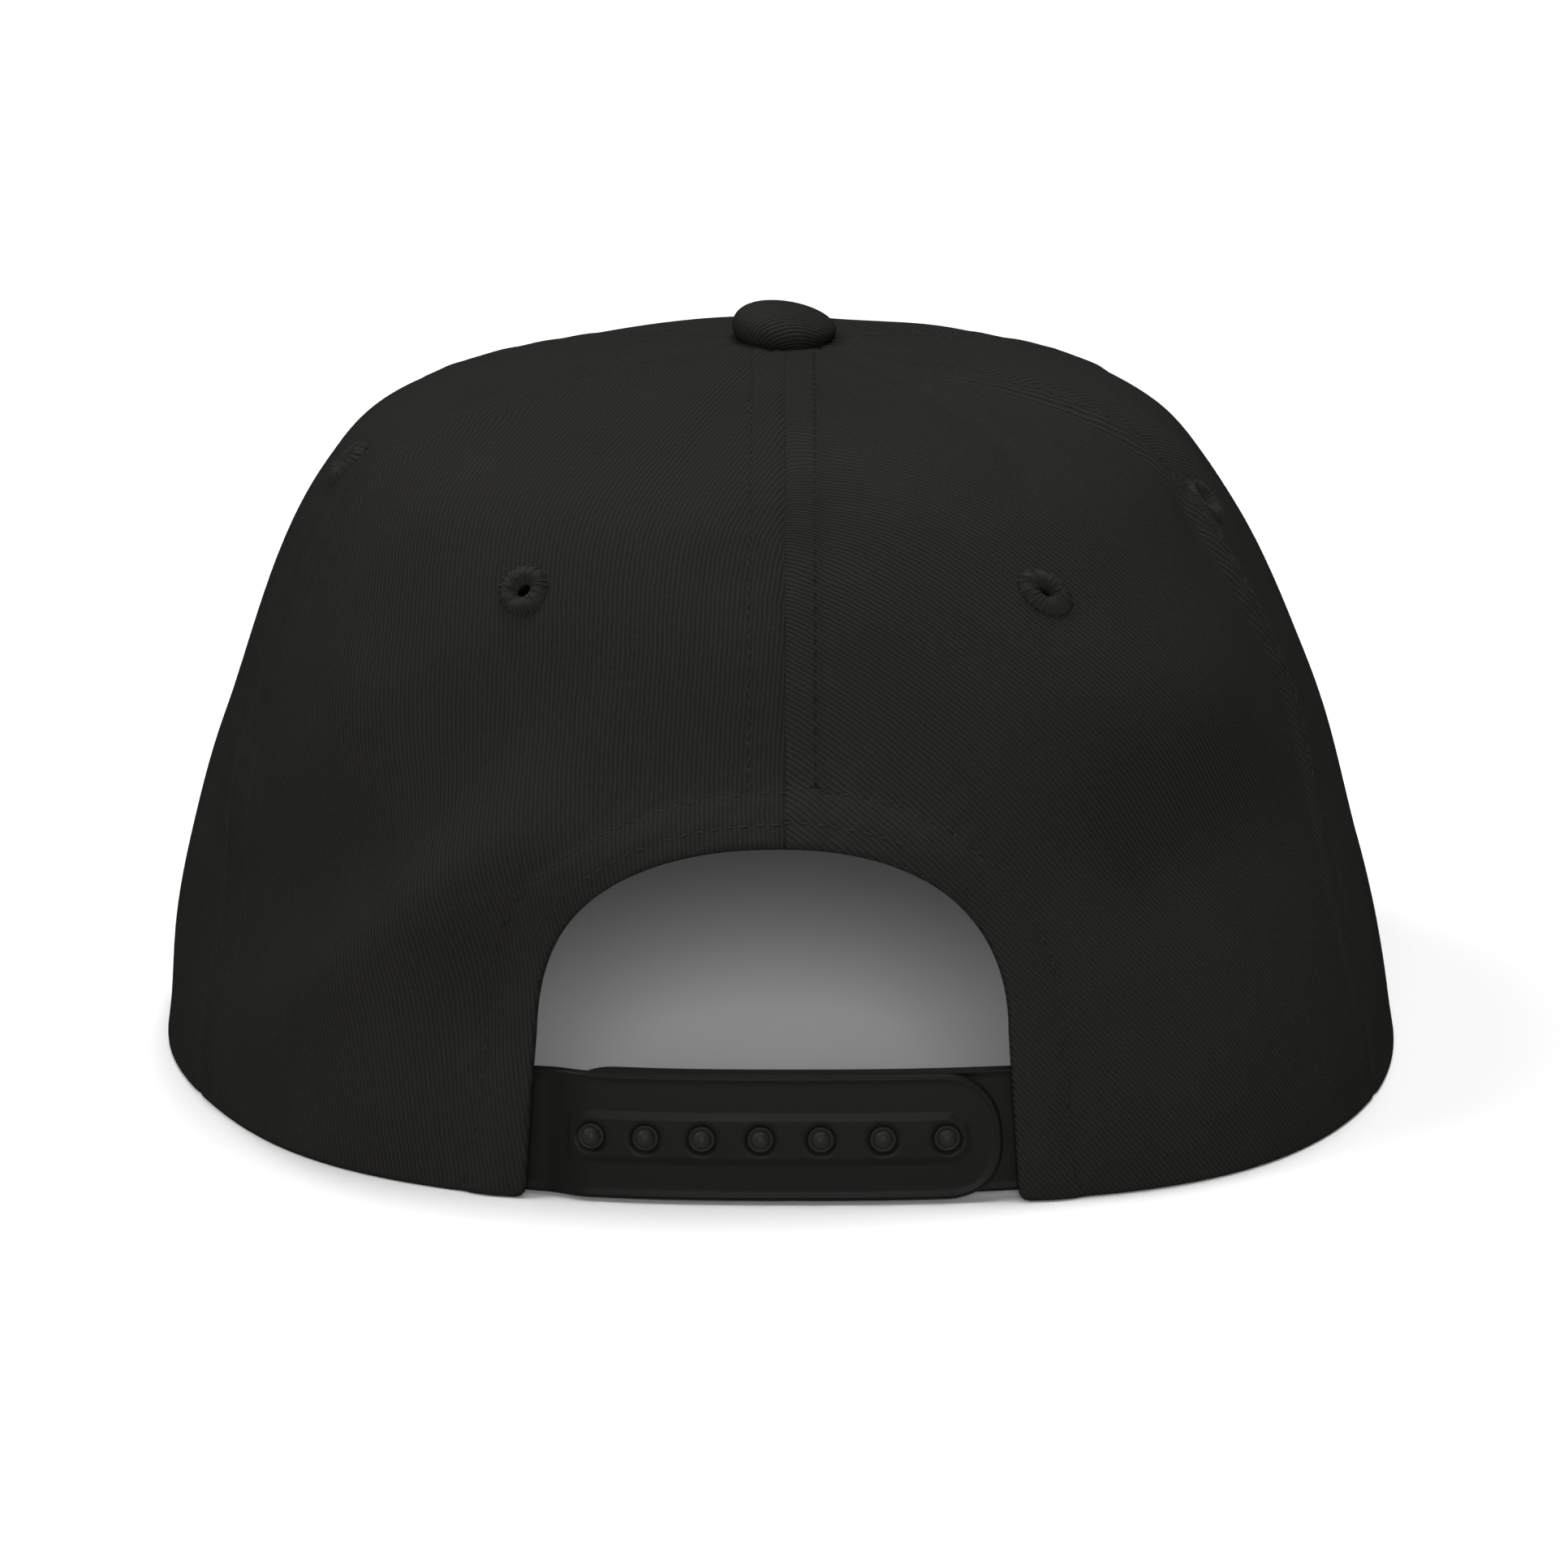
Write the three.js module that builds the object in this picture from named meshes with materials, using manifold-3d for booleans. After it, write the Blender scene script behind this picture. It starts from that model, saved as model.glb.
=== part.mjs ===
// Flat bill cap with a six-panel crown and a plastic snap strap at the back.
// Millimetres, +Z up. The bill points to -Y, the arched opening to +Y, the wearer's left is +X.
// The crown is drawn round its own axis, and the whole cap is then moved so that the middle of
// its footprint is at the origin.

import * as THREE from 'three';
import { mergeVertices } from 'three/addons/utils/BufferGeometryUtils.js';
import Module from 'manifold-3d';

const wasm = await Module();
wasm.setup();

const GAP = 0.3;
const WALL = 1.8;

// Crown sections from the rim to the top. height is over the surface that the cap lies on,
// left and right are the half widths, back and front the depths from the section's middle,
// and middle is how far that middle lies behind (+) or before (-) the crown's axis.
const SECTIONS = [
  { height: 0, left: 97, right: 95.5, back: 90, front: 92, middle: 0 },
  { height: 20, left: 95, right: 92, back: 88, front: 90, middle: 0 },
  { height: 40, left: 90.3, right: 87, back: 84, front: 86.5, middle: 0 },
  { height: 58, left: 84.5, right: 81.5, back: 78.5, front: 81.5, middle: 0 },
  { height: 74, left: 79, right: 74.5, back: 72, front: 74.5, middle: 0 },
  { height: 88, left: 72, right: 66.5, back: 65, front: 65, middle: -0.5 },
  { height: 97, left: 63.5, right: 58.5, back: 57, front: 52.5, middle: -1 },
  { height: 103.2, left: 46, right: 46, back: 43.5, front: 36.5, middle: -2 },
  { height: 107.2, left: 24.5, right: 24.5, back: 25, front: 20, middle: -3 },
  { height: 109, left: 0, right: 0, back: 0, front: 0, middle: -3 },
];
// The back of each section is squarer than an ellipse, the front is an ellipse.
const BACK_SQUARENESS = 2.5;
const FRONT_SQUARENESS = 2;

// Soft dents (-) and bulges (+) of the cloth. angle is from the middle of the back towards the
// wearer's left in degrees, tilt turns the long way up from level, the rest is in mm.
const DENTS = [
  { angle: 51, height: 38, tilt: -30, long: 31, wide: 12, depth: -3 },
  { angle: 35, height: 41, tilt: -45, long: 24, wide: 7.5, depth: 3 },
  { angle: 27, height: 31, tilt: -70, long: 15, wide: 7, depth: -2.2 },
  { angle: 60, height: 5, tilt: -10, long: 23, wide: 24, depth: -2.3 },
  { angle: 48, height: 68, tilt: -40, long: 20, wide: 14, depth: 1.6 },
  { angle: -42, height: 71, tilt: 5, long: 24, wide: 12, depth: 2.8 },
  { angle: -39, height: 47, tilt: 3, long: 26, wide: 11, depth: -3 },
  { angle: -38, height: 6, tilt: 0, long: 26, wide: 22, depth: 2.6 },
  { angle: -71, height: 98, tilt: 70, long: 9, wide: 6.5, depth: -1.6 },
  { angle: 6, height: 50, tilt: 0, long: 32, wide: 10, depth: 3 },
  { angle: 4, height: 93, tilt: 0, long: 24, wide: 8, depth: -2 },
];
const GIRTH_PER_DEGREE = 1.5;

// Seams between the panels at the rim, in degrees, and where the two side seams at the back
// stray from that angle as they climb.
const BACK_SIDE_SEAM = 65;
const SIDE_FRONT_SEAM = 122;
const SEAM_SWAY = [
  { height: 60, span: 20, degrees: 2.5 },
  { height: 93, span: 11, degrees: -2.5 },
];
// Along a seam the cloth is pulled in by this much, over this width. It fades towards the top,
// inside the fade radius.
const SEAM_GROOVE = { depth: 0.7, width: 4, fadeRadius: 25 };

const PANELS = [
  { name: 'panel_back_left', from: 0, to: BACK_SIDE_SEAM },
  { name: 'panel_side_left', from: BACK_SIDE_SEAM, to: SIDE_FRONT_SEAM },
  { name: 'panel_front_left', from: SIDE_FRONT_SEAM, to: 180 },
  { name: 'panel_back_right', from: -BACK_SIDE_SEAM, to: 0 },
  { name: 'panel_side_right', from: -SIDE_FRONT_SEAM, to: -BACK_SIDE_SEAM },
  { name: 'panel_front_right', from: -180, to: -SIDE_FRONT_SEAM },
];
const PANEL_ACROSS = [0, 0.05, 0.13, 0.28, 0.42, 0.58, 0.72, 0.87, 0.95, 1];
const PANEL_ROWS = 19;
const TIP_RADIUS = 2.2;

// The arched opening at the back, seen straight on.
// Its sides lean in a little from the rim to the spring line, and the arch stands on that line.
const ARCH = { middle: 1.9, halfTop: 35, halfRim: 36.6, spring: 25, top: 53, squareness: 2.25 };
const ARCH_CUTTER = { below: 10, from: 50, to: 110, steps: 20 };

// Eyelets: where each one sits on its panel.
const EYELETS = [
  { name: 'eyelet_back_left', angle: 30, height: 86 },
  { name: 'eyelet_back_right', angle: -32, height: 85.5 },
  { name: 'eyelet_side_left', angle: 75, height: 93.7 },
  { name: 'eyelet_side_right', angle: -71.5, height: 89 },
  { name: 'eyelet_front_left', angle: 150, height: 88 },
  { name: 'eyelet_front_right', angle: -150, height: 88 },
];
// The ring's rim is this thick at its outer edge, and its bevels are that wide.
const EYELET = { outer: 4, hole: 1.1, barrel: 1.6, rise: 1.2, rim: 0.35, bevel: 1, sides: 14 };

const DRILL_LENGTH = 12;

const BUTTON = { radius: 8, halfHeight: 3.15, centreRise: 2.2, sides: 24, steps: 9 };

// The bill: its corners sit on the crown's rim at this angle, and its edge runs as one curve from
// a corner to the middle of the front. It is arched a little across its width.
const BILL = { corner: 118, thickness: 3.2, length: 70, arch: 5, halfWidth: 88, edge: 0.8 };
// Where the edge curve's two handles lie: the first runs forward from the corner and outwards, the
// second runs across from the middle of the front.
const BILL_HANDLES = { outward: 97, forward: 105, across: 62 };
const BILL_COLUMNS = 28;
const BILL_ROWS = [0, 0.3, 0.6, 0.85, 0.97, 1];
const RIM_LIFT_START = 103;
const RIM_LIFT_FADE = 40;

// Snap strap. Places along it are given by x, seen straight on from the back.
// A panel's flat facets lie up to FACET_SAG inside the true curve.
const FACET_SAG = 0.4;
const STRAP = { bottom: 0.6, top: 19.6, thickness: 1.4, tuckedDepth: WALL + GAP + FACET_SAG };
const OUTER_STRAP = { tucked: 50, clothEdge: 36.2, free: 29.5, end: -32.8 };
const INNER_STRAP = { tucked: -47, end: 35, thickness: 1.2 };
// The studs' pitch grows a little from the first to the last.
const STUDS = { count: 7, first: 29, pitch: 8, growth: 0.15, height: 9.9, sides: 10 };
const STUD = { radius: 1.5, hole: 2.2, root: 0.4, proud: 0.6, dome: 1.1, shoulder: 0.35 };
const FREE_DEPTH = STRAP.tuckedDepth - STRAP.thickness - GAP;
const STRAP_END_SQUARENESS = 2.4;
const STRAP_ACROSS = [-1, -0.9, -0.45, 0, 0.45, 0.9, 1];
const STRAP_STEPS = { straight: 18, round: 6, roundTurn: 0.97 };

// Steps in angle and level between the points that a normal is worked out from.
const NORMAL_STEP = 0.004;

const degrees = THREE.MathUtils.degToRad;

// A section value at a level between the rows. Past the last row the crown mirrors itself, so
// that its top is round, and below the first row it runs on straight.
function sectionValue(column, level) {
  const last = SECTIONS.length - 1;
  const value = (row) => {
    if (row < 0) return 2 * SECTIONS[0][column] - SECTIONS[1][column];
    if (row <= last) return SECTIONS[row][column];
    const mirrored = SECTIONS[last - 1][column];
    return column === 'height' || column === 'middle' ? mirrored : -mirrored;
  };
  const row = Math.min(Math.floor(level), last - 1);
  const part = level - row;
  const [a, b, c, d] = [value(row - 1), value(row), value(row + 1), value(row + 2)];
  const linear = (c - a) / 2;
  const square = a - 2.5 * b + 2 * c - 0.5 * d;
  const cube = (d - a) / 2 + 1.5 * (b - c);
  return b + part * (linear + part * (square + part * cube));
}

// The input at which a rising function reaches a target.
function solve(rising, target, low, high) {
  for (let step = 0; step < 40; step++) {
    const middle = (low + high) / 2;
    if (rising(middle) < target) low = middle;
    else high = middle;
  }
  return (low + high) / 2;
}

function levelAt(height) {
  return solve((level) => sectionValue('height', level), height, 0, SECTIONS.length - 1);
}

const TIP_LEVEL = solve(
  (level) => -sectionValue('back', level), -TIP_RADIUS, 0, SECTIONS.length - 1);

// The bill's underside is an arch across its width, down on the surface at its sides.
function billUnderside(x) {
  return BILL.arch * Math.max(0, 1 - (x / BILL.halfWidth) ** 2);
}

// How far the rim stands over the surface: on the bill at the front, and down elsewhere.
function rimLift(angle, x) {
  const turn = Math.abs(THREE.MathUtils.radToDeg(angle));
  const blend = THREE.MathUtils.smoothstep(turn, RIM_LIFT_START, BILL.corner - 1);
  return blend * (billUnderside(x) + BILL.thickness + GAP);
}

function dentDepth(angle, height) {
  let depth = 0;
  for (const dent of DENTS) {
    const across = (THREE.MathUtils.radToDeg(angle) - dent.angle) * GIRTH_PER_DEGREE;
    const up = height - dent.height;
    const cos = Math.cos(degrees(dent.tilt));
    const sin = Math.sin(degrees(dent.tilt));
    const along = (across * cos + up * sin) / dent.long;
    const over = (up * cos - across * sin) / dent.wide;
    depth += dent.depth * Math.exp(-along * along - over * over);
  }
  return depth;
}

// A point of the crown's outer face, without the seams.
function crownPoint(angle, level) {
  const sin = Math.sin(angle);
  const cos = Math.cos(angle);
  const squareness = cos > 0 ? BACK_SQUARENESS : FRONT_SQUARENESS;
  const stretch = (Math.abs(sin) ** squareness + Math.abs(cos) ** squareness) ** (-1 / squareness);
  const half = sectionValue(sin > 0 ? 'left' : 'right', level);
  const depth = sectionValue(cos > 0 ? 'back' : 'front', level);
  const height = sectionValue('height', level);
  const push = dentDepth(angle, height);
  const x = half * sin * stretch + push * sin;
  const y = depth * cos * stretch + push * cos + sectionValue('middle', level);
  const fade = Math.max(0, 1 - height / RIM_LIFT_FADE) ** 2;
  return new THREE.Vector3(x, y, height + rimLift(angle, x) * fade);
}

function crownNormal(angle, level) {
  const step = NORMAL_STEP;
  const lower = crownPoint(angle, Math.max(level - step, 0));
  const upper = crownPoint(angle, Math.min(level + step, SECTIONS.length - 1 - step));
  const before = crownPoint(angle - step, level);
  const after = crownPoint(angle + step, level);
  return after.sub(before).cross(upper.sub(lower)).normalize().negate();
}

// The crown's face moved along its normal by an offset, negative inwards.
function crownFace(angle, level, offset) {
  return crownPoint(angle, level).addScaledVector(crownNormal(angle, level), offset);
}

function seamAngle(seam, level) {
  if (Math.abs(seam) !== BACK_SIDE_SEAM) return degrees(seam);
  const height = sectionValue('height', level);
  let sway = 0;
  for (const row of SEAM_SWAY) {
    sway += row.degrees * Math.exp(-(((height - row.height) / row.span) ** 2));
  }
  return degrees(seam + Math.sign(seam) * sway);
}

// A closed body from rings of points: neighbouring rings are joined, and the first and last
// rings are filled. Every ring has the same number of points, in the same turning sense.
function bodyFromRings(rings) {
  const positions = [];
  const triangles = [];
  const size = rings[0].length;
  for (const ring of rings) {
    for (const point of ring) positions.push(point.x, point.y, point.z);
  }
  for (let r = 0; r + 1 < rings.length; r++) {
    for (let i = 0; i < size; i++) {
      const j = (i + 1) % size;
      const [a, b, c, d] = [r * size + i, r * size + j, (r + 1) * size + j, (r + 1) * size + i];
      triangles.push(a, b, c, a, c, d);
    }
  }
  const lastRing = (rings.length - 1) * size;
  for (const [p, q, s] of pairedEnd(size)) {
    triangles.push(p, s, q, lastRing + p, lastRing + q, lastRing + s);
  }
  return manifoldFrom(positions, triangles);
}

// Fills a ring made of an outer run and the same number of points back along an inner run.
function pairedEnd(size) {
  const faces = [];
  for (let i = 0; i + 1 < size / 2; i++) {
    const [a, b, c, d] = [i, i + 1, size - 2 - i, size - 1 - i];
    faces.push([a, b, c], [a, c, d]);
  }
  return faces;
}

function manifoldFrom(positions, triangles) {
  const build = (order) => {
    const mesh = new wasm.Mesh({
      numProp: 3,
      vertProperties: new Float32Array(positions),
      triVerts: new Uint32Array(order),
    });
    return new wasm.Manifold(mesh);
  };
  const solid = build(triangles);
  if (solid.volume() > 0) return solid;
  const turned = [];
  for (let i = 0; i < triangles.length; i += 3) {
    turned.push(triangles[i], triangles[i + 2], triangles[i + 1]);
  }
  return build(turned);
}

function manifoldFromGeometry(geometry, place) {
  const bare = geometry.clone().applyMatrix4(place);
  bare.deleteAttribute('normal');
  bare.deleteAttribute('uv');
  const merged = mergeVertices(bare, 1e-4);
  return manifoldFrom(merged.attributes.position.array, merged.index.array);
}

function geometryFrom(solid) {
  const mesh = solid.getMesh();
  const geometry = new THREE.BufferGeometry();
  geometry.setAttribute('position', new THREE.BufferAttribute(mesh.vertProperties, 3));
  geometry.setIndex(new THREE.BufferAttribute(mesh.triVerts, 1));
  geometry.computeVertexNormals();
  return geometry;
}

// One crown panel: a wall between two seams, from the rim to the tip beside the button.
function panelWall(panel) {
  const rings = [];
  for (let row = 0; row <= PANEL_ROWS; row++) {
    const level = (row / PANEL_ROWS) * TIP_LEVEL;
    const radius = sectionValue('back', level);
    const trim = GAP / 2 / radius;
    const from = seamAngle(panel.from, level) + trim;
    const to = seamAngle(panel.to, level) - trim;
    const outer = [];
    const inner = [];
    for (const part of PANEL_ACROSS) {
      const angle = THREE.MathUtils.lerp(from, to, part);
      const reach = Math.min(part, 1 - part) * (to - from) * radius;
      const groove = SEAM_GROOVE.depth * Math.max(0, 1 - reach / SEAM_GROOVE.width);
      const fade = Math.min(1, radius / SEAM_GROOVE.fadeRadius);
      const outside = crownFace(angle, level, -groove * fade);
      const inside = crownFace(angle, level, -WALL);
      if (row === 0) {
        const rim = crownPoint(angle, level).z;
        outside.z = rim;
        inside.z = rim;
      }
      outer.push(outside);
      inner.push(inside);
    }
    rings.push([...outer, ...inner.reverse()]);
  }
  return bodyFromRings(rings);
}

function archCutter() {
  const outline = new THREE.Shape();
  const spread = (ARCH.halfRim - ARCH.halfTop) * (1 + ARCH_CUTTER.below / ARCH.spring);
  outline.moveTo(ARCH.middle - ARCH.halfTop - spread, -ARCH_CUTTER.below);
  outline.lineTo(ARCH.middle + ARCH.halfTop + spread, -ARCH_CUTTER.below);
  for (let i = 0; i <= ARCH_CUTTER.steps; i++) {
    const turn = (Math.PI * i) / ARCH_CUTTER.steps;
    const [cos, sin] = [Math.cos(turn), Math.sin(turn)];
    const power = 2 / ARCH.squareness;
    const x = ARCH.middle + ARCH.halfTop * Math.sign(cos) * Math.abs(cos) ** power;
    outline.lineTo(x, ARCH.spring + (ARCH.top - ARCH.spring) * sin ** power);
  }
  const depth = ARCH_CUTTER.to - ARCH_CUTTER.from;
  const prism = new THREE.ExtrudeGeometry(outline, { depth, bevelEnabled: false, curveSegments: 1 });
  const place = new THREE.Matrix4().makeRotationX(Math.PI / 2);
  place.premultiply(new THREE.Matrix4().makeTranslation(0, ARCH_CUTTER.to, 0));
  return manifoldFromGeometry(prism, place);
}

// A frame on the crown whose +Y is the outward normal.
function seatOnCrown(angle, height) {
  const level = levelAt(height);
  const normal = crownNormal(angle, level);
  const turn = new THREE.Quaternion().setFromUnitVectors(new THREE.Vector3(0, 1, 0), normal);
  return new THREE.Matrix4().compose(crownPoint(angle, level), turn, new THREE.Vector3(1, 1, 1));
}

// A round drill through whatever lies at a seat.
function drill(radius, sides, seat) {
  return manifoldFromGeometry(new THREE.CylinderGeometry(radius, radius, DRILL_LENGTH, sides), seat);
}

function eyeletHole(eyelet) {
  const seat = seatOnCrown(degrees(eyelet.angle), eyelet.height);
  return drill(EYELET.barrel + GAP, EYELET.sides, seat);
}

// A sewn ring on the panel's face, with its barrel through the panel's hole.
function eyeletRing() {
  const profile = [
    [EYELET.hole, -WALL],
    [EYELET.barrel, -WALL],
    [EYELET.barrel, GAP],
    [EYELET.outer, GAP],
    [EYELET.outer, GAP + EYELET.rim],
    [EYELET.outer - EYELET.bevel, EYELET.rise],
    [EYELET.barrel, EYELET.rise],
    [EYELET.hole, EYELET.rise / 2],
    [EYELET.hole, -WALL],
  ].map(([radius, height]) => new THREE.Vector2(radius, height));
  return new THREE.LatheGeometry(profile, EYELET.sides);
}

// The covered button: a flattened ball cut off where it sits on the crown, with a short shank
// between the panels' tips.
function topButton() {
  const apex = SECTIONS[SECTIONS.length - 1].height;
  const shank = TIP_RADIUS - 2 * GAP;
  const profile = [[0, -WALL], [shank, -WALL], [shank, GAP]];
  const start = Math.asin((GAP - BUTTON.centreRise) / BUTTON.halfHeight);
  for (let i = 0; i <= BUTTON.steps; i++) {
    const turn = THREE.MathUtils.lerp(start, Math.PI / 2, i / BUTTON.steps);
    const radius = i === BUTTON.steps ? 0 : BUTTON.radius * Math.cos(turn);
    profile.push([radius, BUTTON.centreRise + BUTTON.halfHeight * Math.sin(turn)]);
  }
  const points = profile.map(([radius, height]) => new THREE.Vector2(radius, height));
  const place = new THREE.Matrix4().makeRotationX(Math.PI / 2);
  place.setPosition(0, SECTIONS[SECTIONS.length - 1].middle, apex);
  return manifoldFromGeometry(new THREE.LatheGeometry(points, BUTTON.sides), place);
}

// The bill: from under the crown's front rim out to its edge.
function flatBill() {
  const front = -(SECTIONS[0].front + BILL.length);
  const edgeAt = (part, side) => {
    const start = crownPoint(degrees(BILL.corner) * side, 0);
    const curve = new THREE.CubicBezierCurve(
      new THREE.Vector2(start.x, start.y),
      new THREE.Vector2(side * BILL_HANDLES.outward, -BILL_HANDLES.forward),
      new THREE.Vector2(side * BILL_HANDLES.across, front),
      new THREE.Vector2(0, front));
    return curve.getPoint(part);
  };
  const rings = [];
  for (let column = 0; column <= BILL_COLUMNS; column++) {
    const along = (column / BILL_COLUMNS) * 2 - 1;
    const side = along < 0 ? 1 : -1;
    const part = 1 - Math.abs(along);
    const angle = side * degrees(THREE.MathUtils.lerp(BILL.corner, 180, part));
    const root = crownFace(angle, 0, -WALL);
    const edge = edgeAt(part, side);
    const top = [];
    const under = [];
    for (const out of BILL_ROWS) {
      const x = THREE.MathUtils.lerp(root.x, edge.x, out);
      const y = THREE.MathUtils.lerp(root.y, edge.y, out);
      const floor = billUnderside(x);
      const thin = out === 1 ? BILL.edge : 0;
      top.push(new THREE.Vector3(x, y, floor + BILL.thickness - thin));
      under.push(new THREE.Vector3(x, y, floor + thin));
    }
    rings.push([...top, ...under.reverse()]);
  }
  return bodyFromRings(rings);
}

function angleAtSide(x) {
  return solve((angle) => crownPoint(angle, 0).x, x, degrees(-60), degrees(60));
}

// A strap that follows the rim between two places. faceAt gives how deep its outer face lies
// behind the crown's face, and the end at `round` is rounded.
function strapPlate(tucked, round, thickness, faceAt) {
  const half = (STRAP.top - STRAP.bottom) / 2;
  const middle = (STRAP.top + STRAP.bottom) / 2;
  const direction = Math.sign(round - tucked);
  const straightEnd = round - direction * half;
  const places = [];
  for (let i = 0; i < STRAP_STEPS.straight; i++) {
    const part = i / STRAP_STEPS.straight;
    places.push({ x: THREE.MathUtils.lerp(tucked, straightEnd, part), reach: 1 });
  }
  for (let i = 0; i <= STRAP_STEPS.round; i++) {
    const turn = (Math.PI / 2) * STRAP_STEPS.roundTurn * (i / STRAP_STEPS.round);
    const power = 2 / STRAP_END_SQUARENESS;
    const x = straightEnd + direction * half * Math.sin(turn) ** power;
    places.push({ x, reach: Math.cos(turn) ** power });
  }
  const rings = places.map(({ x, reach }) => {
    const angle = angleAtSide(x);
    const outer = [];
    const inner = [];
    for (const across of STRAP_ACROSS) {
      const level = levelAt(middle + half * reach * across);
      outer.push(crownFace(angle, level, -faceAt(x)));
      inner.push(crownFace(angle, level, -faceAt(x) - thickness));
    }
    return [...outer, ...inner.reverse()];
  });
  return bodyFromRings(rings);
}

// The outer strap comes from behind the cloth and steps out over the inner one.
function outerStrapFace(x) {
  const behind = THREE.MathUtils.smoothstep(x, OUTER_STRAP.free, OUTER_STRAP.clothEdge);
  return THREE.MathUtils.lerp(FREE_DEPTH, STRAP.tuckedDepth, behind);
}

function innerStrapFace(x) {
  return outerStrapFace(x) + STRAP.thickness + GAP;
}

function studPlaces() {
  const places = [];
  for (let i = 0; i < STUDS.count; i++) {
    places.push(STUDS.first - STUDS.pitch * i - STUDS.growth * i * i);
  }
  return places;
}

function seatOnStrap(x) {
  return seatOnCrown(angleAtSide(x), STUDS.height);
}

function strapWithHoles() {
  let plate = strapPlate(OUTER_STRAP.tucked, OUTER_STRAP.end, STRAP.thickness, outerStrapFace);
  for (const x of studPlaces()) {
    plate = plate.subtract(drill(STUD.hole, STUDS.sides, seatOnStrap(x)));
  }
  return plate;
}

function strapWithStuds() {
  let plate = strapPlate(INNER_STRAP.tucked, INNER_STRAP.end, INNER_STRAP.thickness, innerStrapFace);
  const root = -STRAP.tuckedDepth - STUD.root;
  const head = -FREE_DEPTH + STUD.proud;
  const profile = [
    [0, root],
    [STUD.radius, root],
    [STUD.radius, head - STUD.dome],
    [STUD.radius - STUD.shoulder, head - STUD.shoulder],
    [0, head],
  ];
  const points = profile.map(([radius, height]) => new THREE.Vector2(radius, height));
  for (const x of studPlaces()) {
    const stud = new THREE.LatheGeometry(points, STUDS.sides);
    plate = plate.add(manifoldFromGeometry(stud, seatOnStrap(x)));
  }
  return plate;
}

const CLOTH = { color: 0x2c2b29, roughness: 0.95, metalness: 0 };
const THREAD = { color: 0x333130, roughness: 0.8, metalness: 0 };
const PLASTIC = { color: 0x1f1f1e, roughness: 0.55, metalness: 0 };

function addPiece(group, name, geometry, look, place) {
  const mesh = new THREE.Mesh(geometry, new THREE.MeshStandardMaterial(look));
  mesh.name = name;
  if (place) mesh.applyMatrix4(place);
  group.add(mesh);
}

function addCrown(group) {
  const arch = archCutter();
  for (const panel of PANELS) {
    let wall = panelWall(panel);
    if (panel.name.includes('back')) wall = wall.subtract(arch);
    for (const eyelet of EYELETS) {
      if (eyelet.angle > panel.from && eyelet.angle < panel.to) {
        wall = wall.subtract(eyeletHole(eyelet));
      }
    }
    addPiece(group, panel.name, geometryFrom(wall), CLOTH);
  }
}

function addEyelets(group) {
  for (const eyelet of EYELETS) {
    const seat = seatOnCrown(degrees(eyelet.angle), eyelet.height);
    addPiece(group, eyelet.name, eyeletRing(), THREAD, seat);
  }
}

const cap = new THREE.Group();
addCrown(cap);
addEyelets(cap);
addPiece(cap, 'top_button', geometryFrom(topButton()), CLOTH);
addPiece(cap, 'bill', geometryFrom(flatBill()), CLOTH);
addPiece(cap, 'strap_with_holes', geometryFrom(strapWithHoles()), PLASTIC);
addPiece(cap, 'strap_with_studs', geometryFrom(strapWithStuds()), PLASTIC);

// Puts the middle of the footprint at the origin.
const box = new THREE.Box3().setFromObject(cap);
const centre = box.getCenter(new THREE.Vector3());
cap.position.set(-centre.x, -centre.y, -box.min.z);
cap.updateMatrixWorld(true);

export default cap;
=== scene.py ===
"""Flat bill cap seen from behind: six twill crown panels, sewn eyelets, a covered button, a bill and
a plastic snap strap. Lengths in the tables are millimetres, and every object is made in metres."""

import math

import bpy
import numpy as np
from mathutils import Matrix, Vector
from mathutils.geometry import delaunay_2d_cdt

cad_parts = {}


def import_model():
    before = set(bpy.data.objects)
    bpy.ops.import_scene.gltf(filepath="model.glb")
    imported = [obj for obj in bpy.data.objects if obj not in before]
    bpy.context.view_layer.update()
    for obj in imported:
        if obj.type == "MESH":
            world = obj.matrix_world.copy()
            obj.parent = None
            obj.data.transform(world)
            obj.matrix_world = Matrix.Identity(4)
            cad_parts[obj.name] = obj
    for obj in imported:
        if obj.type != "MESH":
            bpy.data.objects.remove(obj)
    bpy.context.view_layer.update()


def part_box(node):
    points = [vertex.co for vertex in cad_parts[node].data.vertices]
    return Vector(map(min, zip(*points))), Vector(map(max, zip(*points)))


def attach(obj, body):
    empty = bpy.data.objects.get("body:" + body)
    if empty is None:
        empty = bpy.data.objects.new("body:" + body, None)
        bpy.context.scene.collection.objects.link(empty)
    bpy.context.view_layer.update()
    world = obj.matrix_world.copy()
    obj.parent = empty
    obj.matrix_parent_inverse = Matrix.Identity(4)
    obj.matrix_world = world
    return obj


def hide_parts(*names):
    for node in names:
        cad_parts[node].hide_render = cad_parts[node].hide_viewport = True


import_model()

MM = 0.001


def table(columns, *rows):
    """Rows of a table as dicts, with the columns' names given in one string."""
    return [dict(zip(columns.split(), row)) for row in rows]


# The crown's axis is at the origin of the tables below. The button tells where that is in the frame.
BUTTON_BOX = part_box("top_button")
BUTTON_MIDDLE_Y = -3
CROWN_ORIGIN = np.array([
    (BUTTON_BOX[0][0] + BUTTON_BOX[1][0]) / 2 / MM,
    (BUTTON_BOX[0][1] + BUTTON_BOX[1][1]) / 2 / MM - BUTTON_MIDDLE_Y,
    0,
])

WALL = 1.8
FOLD_ROUND = 0.85
SEAM_GROOVE = {"depth": 0.34, "width": 0.75}
PANEL_OVERLAP = 0.04
MOST_BEND = 0.035

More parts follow.
